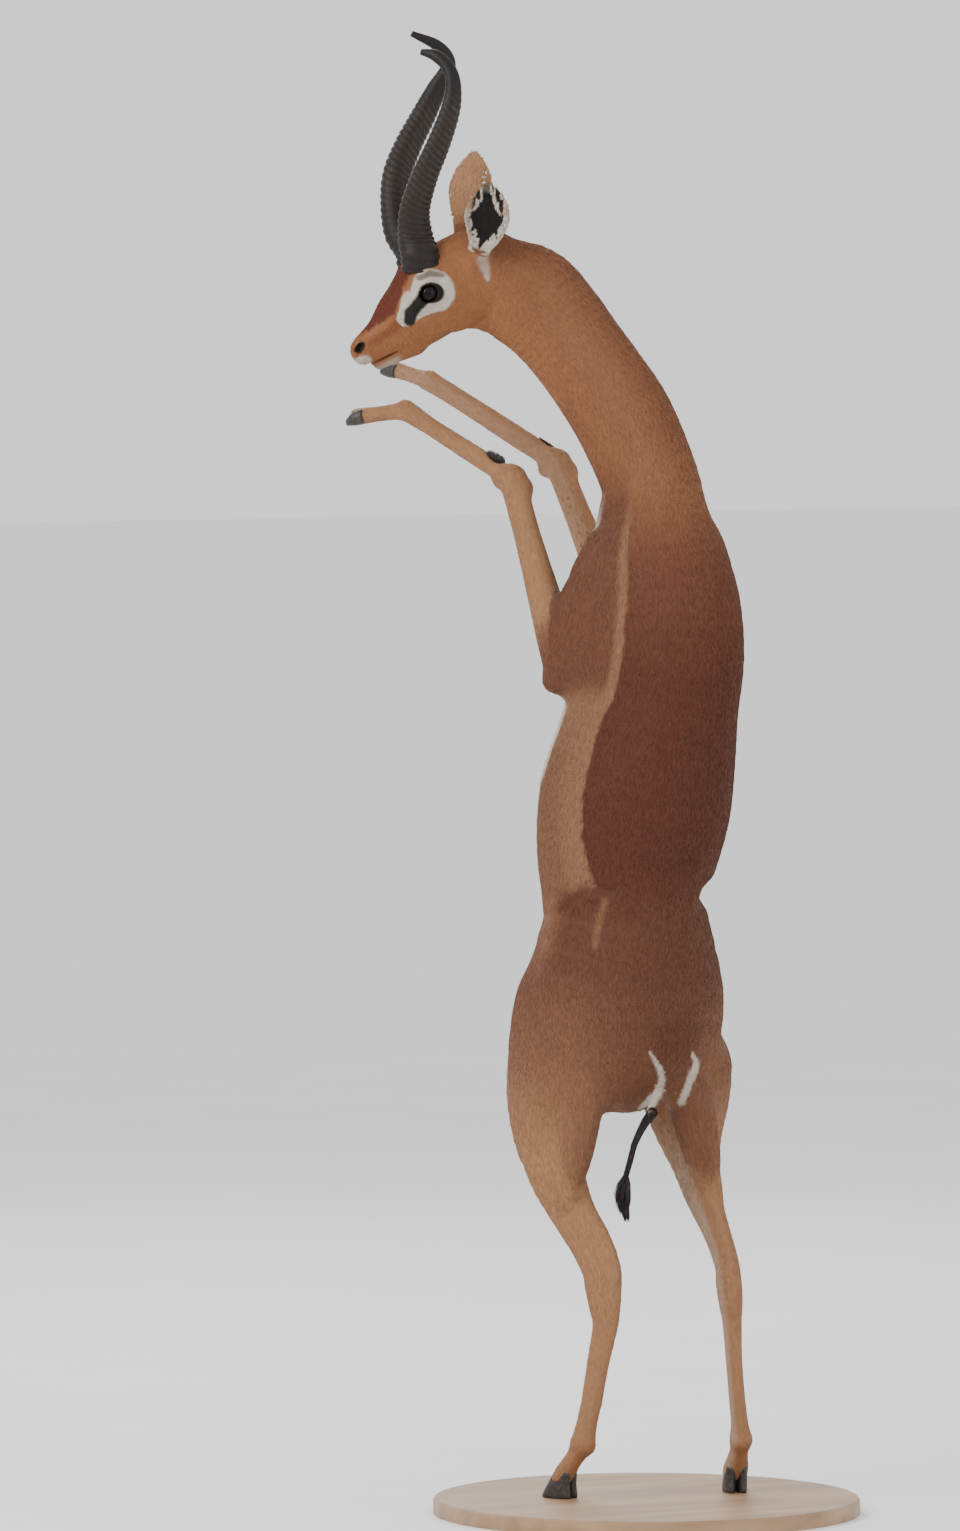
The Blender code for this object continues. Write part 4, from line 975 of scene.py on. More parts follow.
def trunk_colour(points, lie):
    """Return the colours of the neck, the trunk and the thighs, with painted shade on the shoulder, the
    lower belly side and the left flank's crease.
    """
    across, deep, up = view_place(points)
    wave = ripple(points, 0.05, 3)
    fine = ripple(points, 0.010, 4)
    angle = np.degrees(np.abs(lie.angle[NAMES.index("trunk")]))
    lower_side = ramp(angle, 20, 75) * fall(up, 680, 780)
    past = angle - np.interp(up, *zip(*SADDLE_EDGE)) + 0.8 * fine + 0.8 * wave
    low_edge = ramp(up + 6 * wave, 846, 872)
    band = ramp(past, -1.2, 1.2) * low_edge * fall(up, 1330, 1420)
    stripe = trail(across, up, ((-50, 845, 3.5), (-59, 818, 4), (-64, 785, 3))) + 0.15 * fine
    # The crease of the left flank, for painted shade
    fold_shade = trail(across, up, ((-112, 832, 3), (-73, 861, 4), (-47, 856, 3)))
    heart = spot((across - 46, up - 642, deep - 40), (40, 44, 90))
    rear = deep > -60
    white = [(WHITE, 0.9 * fall(trail(across, up, line) + 0.12 * fine, 0.75, 1.25) * rear)
             for line in WHITE_STRIPES.values()]
    return painted(
        np.tile(np.array(NECK), (len(points), 1)),
        (WITHERS, 0.45 * fall(angle, 5, 60) * ramp(up, 1380, 1500)),
        (WITHERS, fall(up, 1300, 1440)),
        (SADDLE, fall(up, 1120, 1330)),
        (RUMP, fall(up, 800, 900)),
        (THIGH, fall(up, 560, 760) * 0.5 + 0.5 * lower_side),
        (FLANK, band),
        # Painted shade on the lower belly side, darker toward the underside and lower down
        (BELLY_SIDE_SHADE, band * ramp(past, 8, 34) * fall(up, 1000, 1150)),
        # The shoulder's brown, partly painted shade of the muscle bulge
        (SHOULDER_BROWN_AND_SHADE, ramp(past, 6, 15) * ramp(up, 1110, 1160) * fall(up, 1380, 1470)),
        (THIGH, ramp(past, 14, 40) * ramp(up, 700, 790) * (1 - low_edge)),
        (FLANK, 0.6 * fall(stripe, 0.3, 2.4) * rear),
        # Painted shade in the left flank's crease, darkened toward the saddle's brown
        (SADDLE, 0.6 * fall(fold_shade, 0.5, 2.2) * rear),
        (WHITE, ramp(angle + 2 * wave, 131, 139) * fall(up, 1340, 1420) * ramp(up, 530, 640)),
        (SADDLE, 0.5 * ramp(-heart + 0.05 * fine, -1.35, -0.5)),
        *white)


# The least ripple that shows as a speck on each forearm
SPECK_LEAST = {"left": 1.35, "right": 0.95}


def coat_colour(points, normals, lie):
    """Return the coat's colour at points of the skin."""
    colour = trunk_colour(points, lie)
    up = view_place(points)[2]
    wave = ripple(points, 0.05, 3)
    trunk = NAMES.index("trunk")
    for side, sign in SIGN.items():
        for part, pale in (("hind", 0.3), ("fore", 0.1)):
            index = NAMES.index(f"{part}_{side}")
            own = ramp(lie.reach[trunk] - lie.reach[index], -0.4, 0.5)
            if part == "hind":
                own = own * fall(up, 470, 640)
            else:
                # The upper foreleg takes the shoulder's brown, which is partly painted shade
                colour = mix(colour, SHOULDER_BROWN_AND_SHADE, own)
                own = own * ramp(lie.along[index] + 0.015 * wave, 0.22, 0.34)
            colour = mix(colour, FAWN, own)
            inner = ramp(-sign * np.sin(lie.angle[index]), 0.35, 0.8)
            colour = mix(colour, WHITE, pale * own * inner * ramp(lie.along[index], 0.05, 0.3))
        index = NAMES.index("fore_" + side)
        own = (lie.owner == index) & (lie.along[index] > 0.22) & (lie.along[index] < 0.56)
        least = SPECK_LEAST[side]
        speck = ramp(ripple(points, 0.006, 9), least, least + 0.15)
        colour = mix(colour, BLAZE, 0.85 * speck * own)
    head = (lie.owner == trunk) & (lie.along[trunk] < 0.3)
    colour[head] = head_colour(colour[head], points[head])
    for side in SIGN:
        own = lie.owner == NAMES.index("ear_" + side)
        colour[own] = ear_colour(colour[own], points[own], normals[own], side)
    return np.clip(colour * (1 + 0.02 * wave)[:, None], 0.004, 0.95)


# The free edge round each bone's chart, and the width of a tuft's patch
CHART_EDGE = 0.004
TUFT_PATCH = 0.003


def chart_place(points, normals, lie):
    """Return each point's place on the unwrap of the skin's own shape."""
    place = np.zeros((len(points), 2))
    for index, bone in enumerate(BONES):
        own = lie.owner == index
        u0, v0, wide, high = bone.chart
        turn = lie.angle[index][own] / (2 * math.pi) + 0.5
        if bone.name.startswith("ear"):
            opening = np.array(ear_spine(bone.name[4:])[4][2])
            turn = turn * 0.5 + 0.5 * (normals[own] @ opening > 0)
        place[own, 0] = u0 + CHART_EDGE + turn * (wide - 3 * CHART_EDGE)
        place[own, 1] = v0 + CHART_EDGE + lie.along[index][own] * (high - 3 * CHART_EDGE)
    return place


def set_colours(mesh, colours):
    """Store a colour at each corner point of a mesh."""
    layer = mesh.color_attributes.new("Coat", "FLOAT_COLOR", "POINT")
    full = np.ones((len(mesh.vertices), 4), dtype=np.float32)
    full[:, :3] = colours
    layer.data.foreach_set("color", full.ravel())


def mesh_points(mesh):
    """Return the mesh's corner places and normals."""
    count = len(mesh.vertices)
    places, normals = np.empty(count * 3), np.empty(count * 3)
    mesh.vertices.foreach_get("co", places)
    mesh.vertex_normals.foreach_get("vector", normals)
    return places.reshape(-1, 3), normals.reshape(-1, 3)


def tuft_mesh(name, corners, pattern, normals, colours, charts):
    """Make a mesh of like tufts from their corners, with the skin's own shading and chart."""
    count, size = corners.shape[:2]
    pattern = np.array(pattern)
    faces = (np.arange(count)[:, None, None] * size + pattern).reshape(-1, 3)
    mesh = bpy.data.meshes.new(name)
    mesh.vertices.add(count * size)
    mesh.vertices.foreach_set("co", corners.astype(np.float32).ravel())
    mesh.loops.add(len(faces) * 3)
    mesh.loops.foreach_set("vertex_index", faces.astype(np.int32).ravel())
    mesh.polygons.add(len(faces))
    mesh.polygons.foreach_set("loop_start", np.arange(0, len(faces) * 3, 3, dtype=np.int32))
    mesh.update(calc_edges=True)
    mesh.shade_smooth()
    set_colours(mesh, np.repeat(np.clip(colours, 0.003, 0.95), size, axis=0))
    patch = np.zeros((size, 2))
    patch[:, 0] = TUFT_PATCH * (np.arange(size) % 3) / 2
    patch[:, 1] = TUFT_PATCH * np.arange(size) / (size - 1)
    places = (charts[:, None, :] + patch[None, :, :]).reshape(-1, 2)
    layer = mesh.uv_layers.new(name="OFBake")
    layer.data.foreach_set("uv", places[faces.ravel()].astype(np.float32).ravel())
    if normals is not None:
        mesh.normals_split_custom_set_from_vertices(np.repeat(normals, size, axis=0).tolist())
    return new_object(name, mesh)


BLADE = ((0, 1, 3), (1, 2, 3), (2, 0, 3), (1, 0, 2))


def blades(name, roots, ways, normals, lengths, widths, lifts, colours, charts):
    """Make a mesh of thin closed blades, each from its root along its way, lifted at the tip."""
    half = unit(np.cross(ways, normals)) * (widths / 2)[:, None]
    thick = normals * (widths * 0.2)[:, None]
    sink = normals * 0.0005
    corners = np.stack([roots + half - sink, roots - half - sink, roots + thick,
                        roots + ways * lengths[:, None] + normals * lifts[:, None]], axis=1)
    return tuft_mesh(name, corners, BLADE, normals, colours, charts)


def scatter(mesh, count, density, rng):
    """Return random points of the mesh's surface with normals, spread by area and density."""
    places, normals = mesh_points(mesh)
    mesh.calc_loop_triangles()
    tris = np.empty(len(mesh.loop_triangles) * 3, dtype=np.int32)
    mesh.loop_triangles.foreach_get("vertices", tris)
    tris = tris.reshape(-1, 3)
    a, b, c = (places[tris[:, i]] for i in range(3))
    area = np.linalg.norm(np.cross(b - a, c - a), axis=1) / 2
    weight = area * density((a + b + c) / 3)
    total = np.cumsum(weight)
    pick = np.searchsorted(total, rng.uniform(0, total[-1], count))
    pick = np.minimum(pick, len(tris) - 1)
    one, two = rng.uniform(size=count), rng.uniform(size=count)
    swap = one + two > 1
    one[swap], two[swap] = 1 - one[swap], 1 - two[swap]
    points = a[pick] + (b - a)[pick] * one[:, None] + (c - a)[pick] * two[:, None]
    n = [normals[tris[pick, i]] for i in range(3)]
    blend = n[0] * (1 - one - two)[:, None] + n[1] * one[:, None] + n[2] * two[:, None]
    return points, unit(blend)


# The tufts in all and in a piece, and their size on the body with what head and feet take off
TUFTS = 280000
PIECE = 45000
TUFT_LENGTH = (6.5, 3.4, 2.4)
TUFT_WIDTH = (1.0, 0.42, 0.25)


def nearness_to_head(points):
    """Return one on the head and nought on the body."""
    ahead, side, above = head_place(points)
    return fall(np.sqrt((ahead + 10) ** 2 + side ** 2 + above ** 2), 110, 170)


def make_coat(skin):
    """Make the short coat in tufts that follow its lie."""
    rng = np.random.default_rng(11)
    points, normals = scatter(skin.data, TUFTS, lambda p: 1 + 4 * nearness_to_head(p), rng)
    lie = lie_of(points)
    ways = lie.ways + 0.15 * rng.normal(size=points.shape)
    ways = unit(ways - (ways * normals).sum(axis=1)[:, None] * normals)
    colours = coat_colour(points, normals, lie) * rng.uniform(0.93, 1.07, len(points))[:, None]
    charts = chart_place(points, normals, lie)
    head = nearness_to_head(points)
    feet = fall(view_place(points)[2], 200, 330)

    def size(whole, less_head, less_feet, least, most):
        """Return the tufts' sizes, varied from the least to the most share."""
        plain = whole - less_head * head - less_feet * feet
        return plain * rng.uniform(least, most, len(points)) * MM

    lengths = size(*TUFT_LENGTH, 0.7, 1.25)
    widths = size(*TUFT_WIDTH, 0.8, 1.2)
    lifts = lengths * rng.uniform(0.03, 0.10, len(points))
    ahead, side, above = head_place(points)
    keep = spot((ahead + 5, np.abs(side) - 46, above - 6), (15, 16, 13)) > 1
    order = np.argsort(lie.owner * 10 + points[:, 2], kind="stable")
    order = order[keep[order]]
    pieces = []
    for number, start in enumerate(range(0, len(order), PIECE)):
        part = order[start:start + PIECE]
        pieces.append(blades(f"coat_{number}", points[part], ways[part], normals[part], lengths[part],
                             widths[part], lifts[part], colours[part], charts[part]))
    return pieces


def loft(name, rings):
    """Make a closed smooth object through rings of as many points each."""
    count, size = len(rings), len(rings[0])
    corners = np.vstack([*rings, np.mean(rings[0], axis=0), np.mean(rings[-1], axis=0)])
    faces = []
    last = (count - 1) * size
    for i in range(size):
        j = (i + 1) % size
        for start in range(0, last, size):
            faces.append((start + i, start + j, start + size + j, start + size + i))
        faces.append((j, i, count * size))
        faces.append((last + i, last + j, count * size + 1))
    return mesh_object(name, corners, faces)


LOCK_SHARES = (0, 0.4, 0.75)
LOCK_WIDTHS = (0.8, 1, 0.6)
LOCK_FLAT = 0.45
LOCK = [(2, 1, 0), (6, 7, 9), (7, 8, 9), (8, 6, 9)]
LOCK += [face for a in (0, 3) for i, j in ((0, 1), (1, 2), (2, 0))
         for face in ((a + i, a + j, a + 3 + j), (a + i, a + 3 + j, a + 3 + i))]


def varied(colour, rng, least, most, count):
    """Return a colour that many times, varied from the least to the most share."""
    return np.array(colour) * rng.uniform(least, most, count)[:, None]


def locks(name, roots, ways, droops, lengths, half, colours, charts):
    """Make a mesh of tapered locks, each bending from its way toward its droop."""
    across = unit(np.cross(ways, droops) + 1e-5)
    corners = []
    for share, wide in zip(LOCK_SHARES, LOCK_WIDTHS):
        ahead = unit(ways + (droops - ways) * share)
        out = np.cross(ahead, across)
        middle = roots + (ways * (share - share ** 2 / 2) + droops * share ** 2 / 2) * lengths[:, None]
        for turn in (0, 2 * math.pi / 3, 4 * math.pi / 3):
            spoke = across * math.cos(turn) + out * (LOCK_FLAT * math.sin(turn))
            corners.append(middle + spoke * (half * MM * wide))
    corners.append(roots + (ways + droops) * lengths[:, None] / 2)
    return tuft_mesh(name, np.stack(corners, axis=1), LOCK, None, colours, charts)


HORN_SIDES = 32
HORN_STEPS = 26
HORN_FLAT = (0.82, 1.08)
RING_STEP = 9
RING_HEIGHT = 0.075
RINGED = 0.66
HORN_DARK = (0.0075, 0.0042, 0.0030)
# The pale colour of the ring crests is a painted highlight
HORN_CREST_HIGHLIGHT = (0.044, 0.032, 0.0245)


def make_horn(side):
    """Make one horn, ringed on its lower two thirds and smooth to its tip, with a painted highlight on its
    ring crests.
    """
    root = head_at(*HORN_ROOT[side])
    way = head_way(HORN_WAY[0], SIGN[side] * HORN_WAY[1], HORN_WAY[2])
    rows = [Section(root - way * 16 * MM, LEFT, 26, 0, 0), Section(root + way * 4 * MM, LEFT, 25, 0, 0)]
    rows += [Section(at(*p), LEFT, r, 0, 0) for p, r in zip(HORN_PLACES[side], HORN_RADII[side])]
    fine = smooth_rows(rows, HORN_STEPS)
    turns = np.arange(HORN_SIDES) * (2 * math.pi / HORN_SIDES)
    rings, crest_highlights, along = [], [], 0.0
    for i, row in enumerate(fine):
        after, before = fine[min(i + 1, len(fine) - 1)], fine[max(i - 1, 0)]
        ahead = Vector(after[:3] - before[:3]).normalized()
        one = (LEFT - ahead * LEFT.dot(ahead)).normalized()
        two = ahead.cross(one)
        along += np.linalg.norm(row[:3] - before[:3]) / MM
        share = i / (len(fine) - 1)
        oblique = 0.15 + 0.7 * share
        phase = (along + oblique * row[6] / MM * np.sin(turns)) / RING_STEP
        crest = (0.5 + 0.5 * np.cos(2 * math.pi * phase)) ** 0.7
        crest = crest * (0.55 + 0.45 * np.sin(turns + 0.5) ** 2)
        crest = crest * float(fall(share, RINGED - 0.06, RINGED + 0.06))
        radius = row[6] * (0.97 + RING_HEIGHT * crest)
        spokes = (np.cos(turns) * HORN_FLAT[0] * radius)[:, None] * np.array(one)
        spokes = spokes + (np.sin(turns) * HORN_FLAT[1] * radius)[:, None] * np.array(two)
        rings.append(row[:3] + spokes)
        # Painted highlight on the ring crests, stronger toward the horn's upper middle
        crest_highlights.append(crest ** 1.5 * (0.25 + 0.75 * float(ramp(share, 0.2, 0.42))))
    horn = loft("horn_" + side, rings)
    shade = np.concatenate([np.concatenate(crest_highlights), (0, 0)])
    set_colours(horn.data, mix(np.tile(np.array(HORN_DARK), (len(shade), 1)), HORN_CREST_HIGHLIGHT, shade))
    return horn


EYE_SIDES = 48
EYE_RINGS = 33
CORNEA = 0.9
IRIS = (0.0085, 0.0048, 0.003)
PUPIL = (0.002, 0.0015, 0.0012)


def make_eye(side):
    """Make one eye with a domed cornea over a brown iris and a level pupil."""
    centre, way, long, high = (np.array(v) for v in eye_axes(side))
    turns = np.arange(EYE_SIDES) * (2 * math.pi / EYE_SIDES)
    rings, colours = [], []
    if np.dot(np.cross(long, high), way) < 0:
        turns = -turns
    for slope in np.linspace(math.pi - 0.05, 0.03, EYE_RINGS):
        radius = EYE_RADIUS + CORNEA * float(fall(slope, 0.3, 0.9))
        level = long * np.cos(turns)[:, None] + high * np.sin(turns)[:, None]
        off = level * radius * math.sin(slope) + way * radius * math.cos(slope)
        rings.append(centre + off * MM)
        pupil = np.hypot(np.cos(turns) / 6.5, np.sin(turns) / 3.4) * radius * math.sin(slope)
        rim = np.full(EYE_SIDES, float(ramp(slope, 0.62, 0.78)))
        shade = mix(np.tile(np.array(IRIS), (EYE_SIDES, 1)), BLACK, rim)
        colours.append(mix(shade, PUPIL, fall(pupil, 0.9, 1.1) * (slope < 1.5)))
    eye = loft("eye_" + side, rings)
    set_colours(eye.data, np.vstack([*colours, BLACK, PUPIL]))
    return eye


def scattered(points, seed, spread):
    """Return unit ways spread at random round those given."""
    rng = np.random.default_rng(seed)
    return unit(points + spread * rng.normal(size=points.shape))


LASHES = 46


def make_lashes():
    """Make the dark lashes of the upper lids."""
    rng = np.random.default_rng(21)
    roots, ways, droops = [], [], []
    for side in SIGN:
        centre, way, long, high = (np.array(v) for v in eye_axes(side))
        for turn in np.linspace(math.radians(18), math.radians(150), LASHES):
            level = long * math.cos(turn) * 14.2 + high * math.sin(turn) * 11.6
            roots.append(centre + (way * 11.5 + level) * MM)
            ways.append(way * 0.8 + high * 0.5 + long * 0.4 * math.cos(turn))
            droops.append(way * 0.8 - high * 0.25 + long * 0.5 * math.cos(turn))
    count = len(roots)
    charts = np.stack([np.arange(count) / count * 0.9, np.full(count, 0.5)], axis=1)
    return locks("lashes", np.array(roots), scattered(np.array(ways), 22, 0.08),
                 unit(np.array(droops)), rng.uniform(7, 10, count) * MM, 0.45,
                 np.tile(BLACK, (count, 1)), charts)


TAIL_RADII = (7.6, 7.2, 5.6, 4.8, 4.4, 4.2)
TAIL_SIDES = 20
TAIL_HAIRS = 900
TUFT_LOCKS = 900
TUFT_REACH = 46
TUFT_BEND = 40
TAIL_DARK = (0.016, 0.010, 0.008)


def tail_rows():
    """Return the smooth rows of the tail, from its root to the tuft."""
    root = TAIL_ROOT + TAIL_WAY * (TAIL_STUB - 0.004)
    places = [root, root + TAIL_WAY * 0.006, at(3, 92, 532), at(-8, 94, 509), at(-15, 93, 484),
              at(-20, 90, 466)]
    left = heading(30)[1]
    return smooth_rows([Section(p, left, r, 0, 0) for p, r in zip(places, TAIL_RADII)], 6)


def tail_frame():
    """Return the tail's rows and the ways along and across it at each."""
    fine = np.array(tail_rows())
    ways = unit(np.gradient(fine[:, :3], axis=0))
    ones = unit(fine[:, 3:6] - (fine[:, 3:6] * ways).sum(axis=1)[:, None] * ways)
    return fine, ways, ones, np.cross(ways, ones)


def make_tail():
    """Make the bare tail under its hair."""
    fine, _, ones, twos = tail_frame()
    turns = np.arange(TAIL_SIDES) * (2 * math.pi / TAIL_SIDES)
    rings = []
    for row, one, two in zip(fine, ones, twos):
        spokes = one * np.cos(turns)[:, None] + two * np.sin(turns)[:, None]
        rings.append(row[:3] + spokes * (row[6] - COAT_DEPTH * MM))
    return loft("tail", rings)


def make_tail_hair(rng):
    """Make the short hair on the tail."""
    fine, ways, ones, twos = tail_frame()
    level = rng.uniform(0, len(fine) - 1.001, TAIL_HAIRS)
    index = level.astype(int)
    part = (level - index)[:, None]
    turn = rng.uniform(0, 2 * math.pi, TAIL_HAIRS)[:, None]
    out = ones[index] * np.cos(turn) + twos[index] * np.sin(turn)
    roots = fine[index, :3] * (1 - part) + fine[index + 1, :3] * part
    roots = roots + out * (fine[index, 6] - 1.2 * MM)[:, None]
    charts = np.hstack([turn / (2 * math.pi) * 0.95, level[:, None] / len(fine) * 0.95])
    shades = varied(TAIL_DARK, rng, 0.7, 1.4, TAIL_HAIRS)
    return locks("tail_hair", roots, unit(ways[index] + 0.22 * out), unit(ways[index] + 0.02 * out),
                 rng.uniform(6, 10, TAIL_HAIRS) * MM, 0.7, shades, charts)


def make_tuft(rng):
    """Make the long locks of the tail's tuft."""
    fine, ways, ones, twos = tail_frame()
    along = rng.uniform(0, 1, TUFT_LOCKS) ** 1.3 * TUFT_REACH
    bend = np.minimum(1, along / TUFT_BEND)[:, None]
    drop = unit(ways[-1] * (1 - bend) - np.array(UP) * bend)
    turn = rng.uniform(0, 2 * math.pi, TUFT_LOCKS)[:, None]
    out = ones[-1] * np.cos(turn) + twos[-1] * np.sin(turn)
    roots = fine[-1, :3] + drop * along[:, None] * MM + out * 2.2 * MM
    spread = rng.uniform(0.10, 0.42, TUFT_LOCKS)[:, None] * (1 - 0.6 * along[:, None] / TUFT_REACH)
    lengths = rng.uniform(0.75, 1, TUFT_LOCKS) * (82 - along * 0.95) * 0.62 * MM
    charts = np.hstack([turn / (2 * math.pi) * 0.95, along[:, None] / TUFT_REACH * 0.95])
    shades = varied(TAIL_DARK, rng, 0.6, 1.3, TUFT_LOCKS)
    droops = unit(-np.array(UP) - out * spread * 0.35)
    return locks("tail_tuft", roots, unit(drop + out * spread * 1.6), droops, lengths, 1.0, shades,
                 charts)


BRUSH_ALONG = {"left": 33, "right": 22}
BRUSH_OUT = 10
BRUSH_SIZE = (14, 8)
BRUSH_LOCKS = 420


def make_brush(side):
    """Make the dark brush of locks past one knee."""
    rng = np.random.default_rng(41 + SIGN[side])
    cannon = (FORE_FETLOCK[side] - KNEE[side]).normalized()
    arm = (KNEE[side] - ELBOW[side]).normalized()
    front = (arm - cannon * arm.dot(cannon)).normalized()
    across = np.array(front.cross(cannon))
    middle = np.array(KNEE[side] + (cannon * BRUSH_ALONG[side] + front * BRUSH_OUT) * MM)
    cannon, front = np.array(cannon), np.array(front)
    turn = rng.uniform(0, 2 * math.pi, BRUSH_LOCKS)[:, None]
    far = np.sqrt(rng.uniform(0, 1, BRUSH_LOCKS))[:, None]
    ahead, aside = np.cos(turn) * far * BRUSH_SIZE[0], np.sin(turn) * far * BRUSH_SIZE[1]
    roots = middle + (cannon * ahead + across * aside + front * 1.5) * MM
    ways = scattered(front * 0.95 + cannon * 0.5 + across * aside * 0.07, 43, 0.12)
    droops = scattered(cannon + front * 0.10 + across * aside * 0.05, 44, 0.08)
    charts = np.hstack([0.5 + ahead / 40, 0.5 + aside / 40])
    shades = varied(TAIL_DARK, rng, 0.6, 1.5, BRUSH_LOCKS)
    lengths = rng.uniform(10, 14, BRUSH_LOCKS) * MM
    return locks("knee_brush_" + side, roots, ways, droops, lengths, 0.75, shades, charts)


CROWN_LOCKS = 300
EAR_LOCKS = 1500


def make_crown():
    """Make the tuft of longer hair behind the horns."""
    rng = np.random.default_rng(51)
    ahead = rng.uniform(-62, -26, CROWN_LOCKS)
    aside = rng.normal(size=CROWN_LOCKS) * 9
    roots = np.array([tuple(head_at(a, b, 49 - b * b * 0.012)) for a, b in zip(ahead, aside)])
    ways = scattered(np.tile(np.array(-FORWARD + TOP * 0.45), (CROWN_LOCKS, 1)), 52, 0.12)
    droops = scattered(np.tile(np.array(-FORWARD - TOP * 0.25), (CROWN_LOCKS, 1)), 53, 0.10)
    charts = np.stack([0.5 + aside / 90, (ahead + 70) / 60], axis=1)
    shades = varied(CHEEK, rng, 0.5, 0.9, CROWN_LOCKS)
    lengths = rng.uniform(12, 17, CROWN_LOCKS) * MM
    return locks("crown_hair", roots, ways, droops, lengths, 0.7, shades, np.clip(charts, 0, 0.95))


def make_ear_hair(skin):
    """Make the longer hair inside the ears and along their rims."""
    rng = np.random.default_rng(61)
    points, normals = scatter(skin.data, EAR_LOCKS * 14, lambda p: 0.001 + nearness_to_head(p), rng)
    lie = lie_of(points)
    kept, ways = [], []
    for side in SIGN:
        index = NAMES.index("ear_" + side)
        own = np.flatnonzero(lie.owner == index)
        share, across = ear_place(points[own], side)
        opening = np.array(ear_spine(side)[4][2])
        good = (normals[own] @ opening > 0.15) & (share > 0.15) & (share < 0.78)
        good &= np.abs(across) > rng.uniform(0.6, 0.95, len(own))
        own, across = own[good], across[good]
        left = np.array(ear_spine(side)[4][3]) * SIGN[side]
        toward = -np.sign(across)[:, None] * left
        ways.append(unit(lie.ways[own] + opening * 0.35 + toward * 0.25))
        kept.append(own)
    kept, ways = np.concatenate(kept), np.vstack(ways)
    count = len(kept)
    roots, outs, lie = points[kept], normals[kept], part_of(lie, kept)
    colours = coat_colour(roots, outs, lie)
    lengths = rng.uniform(3, 6, count) * MM
    colours = colours * rng.uniform(0.9, 1.1, count)[:, None]
    return locks("ear_hair", roots - outs * 0.0004, scattered(ways, 62, 0.15),
                 scattered(ways * 0.6 + lie.ways * 0.6, 63, 0.10), lengths, 0.36, colours,
                 chart_place(roots, outs, lie))


def rounded(name, faceted):
    """Return a rounded copy of a faceted piece, with its sharp edges kept nearly as sharp."""
    bm = bmesh.new()
    bm.from_mesh(faceted.data)
    bm.transform(faceted.matrix_world)
    bmesh.ops.remove_doubles(bm, verts=bm.verts, dist=1e-6)
    flat = [e for e in bm.edges if len(e.link_faces) == 2 and e.calc_face_angle(0) < 0.01]
    bmesh.ops.dissolve_edges(bm, edges=flat, use_verts=True)
    crease = bm.edges.layers.float.new("crease_edge")
    for edge in bm.edges:
        edge[crease] = 0.8 if edge.calc_face_angle(0) > math.radians(50) else 0
    mesh = bpy.data.meshes.new(name)
    bm.to_mesh(mesh)
    bm.free()
    obj = new_object(name, mesh)
    change = obj.modifiers.new("Round", "SUBSURF")
    change.levels = change.render_levels = 2
    mesh.shade_smooth()
    return obj


def material(name, roughness, **settings):
    """Return a new material, its node tree and its shader."""
    made = bpy.data.materials.new(name)
    made.use_nodes = True
    tree = made.node_tree
    shader = tree.nodes["Principled BSDF"]
    shader.inputs["Roughness"].default_value = roughness
    for key, value in settings.items():
        shader.inputs[key.replace("_", " ")].default_value = value
    return made, tree, shader


def node(tree, kind, **values):
    """Add a node with settings and input values."""
    made = tree.nodes.new(kind)
    for key, value in values.items():
        if hasattr(made, key):
            setattr(made, key, value)
        else:
            made.inputs[key.replace("_", " ")].default_value = value
    return made


def grain(tree, scale, detail=4.0, stretch=(1, 1, 1)):
    """Return a noise node in the object's own coordinates, stretched along its axes."""
    place = node(tree, "ShaderNodeTexCoord")
    squeeze = node(tree, "ShaderNodeMapping", vector_type="POINT")
    squeeze.inputs["Scale"].default_value = stretch
    noise = node(tree, "ShaderNodeTexNoise", Scale=scale, Detail=detail)
    tree.links.new(place.outputs["Object"], squeeze.inputs["Vector"])
    tree.links.new(squeeze.outputs["Vector"], noise.inputs["Vector"])
    return noise


def bump(tree, shader, height, strength, distance):
    """Give the shader a bump from a height."""
    made = node(tree, "ShaderNodeBump", Strength=strength, Distance=distance)
    tree.links.new(height, made.inputs["Height"])
    tree.links.new(made.outputs["Normal"], shader.inputs["Normal"])


def marked_material(name, bumps, roughness=0.66, spread=0.1, **settings):
    """Return a material that takes the colours that the mesh carries, varied by a spread."""
    made, tree, shader = material(name, roughness, **settings)
    marks = node(tree, "ShaderNodeAttribute", attribute_name="Coat")
    noise = grain(tree, 420, 3.0, (1, 1, 0.28))
    change = node(tree, "ShaderNodeMapRange", From_Min=0.3, From_Max=0.7,
                  To_Min=1 - spread, To_Max=1 + spread)
    shade = node(tree, "ShaderNodeVectorMath", operation="SCALE")
    tree.links.new(noise.outputs["Fac"], change.inputs["Value"])
    tree.links.new(marks.outputs["Color"], shade.inputs[0])
    tree.links.new(change.outputs["Result"], shade.inputs["Scale"])
    tree.links.new(shade.outputs["Vector"], shader.inputs["Base Color"])
    if bumps:
        bump(tree, shader, noise.outputs["Fac"], 0.5, 0.0008)
    return made


def plain_material(name, dark, pale, scale, roughness, stretch=(1, 1, 1), strength=0.3):
    """Return a material that varies between two colours, with a fine bump."""
    made, tree, shader = material(name, roughness)
    noise = grain(tree, scale, 5.0, stretch)
    blend = node(tree, "ShaderNodeMix", data_type="RGBA")
    change = node(tree, "ShaderNodeMapRange", From_Min=0.32, From_Max=0.68)
    blend.inputs[6].default_value = (*dark, 1)
    blend.inputs[7].default_value = (*pale, 1)
    tree.links.new(noise.outputs["Fac"], change.inputs["Value"])
    tree.links.new(change.outputs["Result"], blend.inputs[0])
    tree.links.new(blend.outputs[2], shader.inputs["Base Color"])
    bump(tree, shader, noise.outputs["Fac"], strength, 0.0006)
    return made


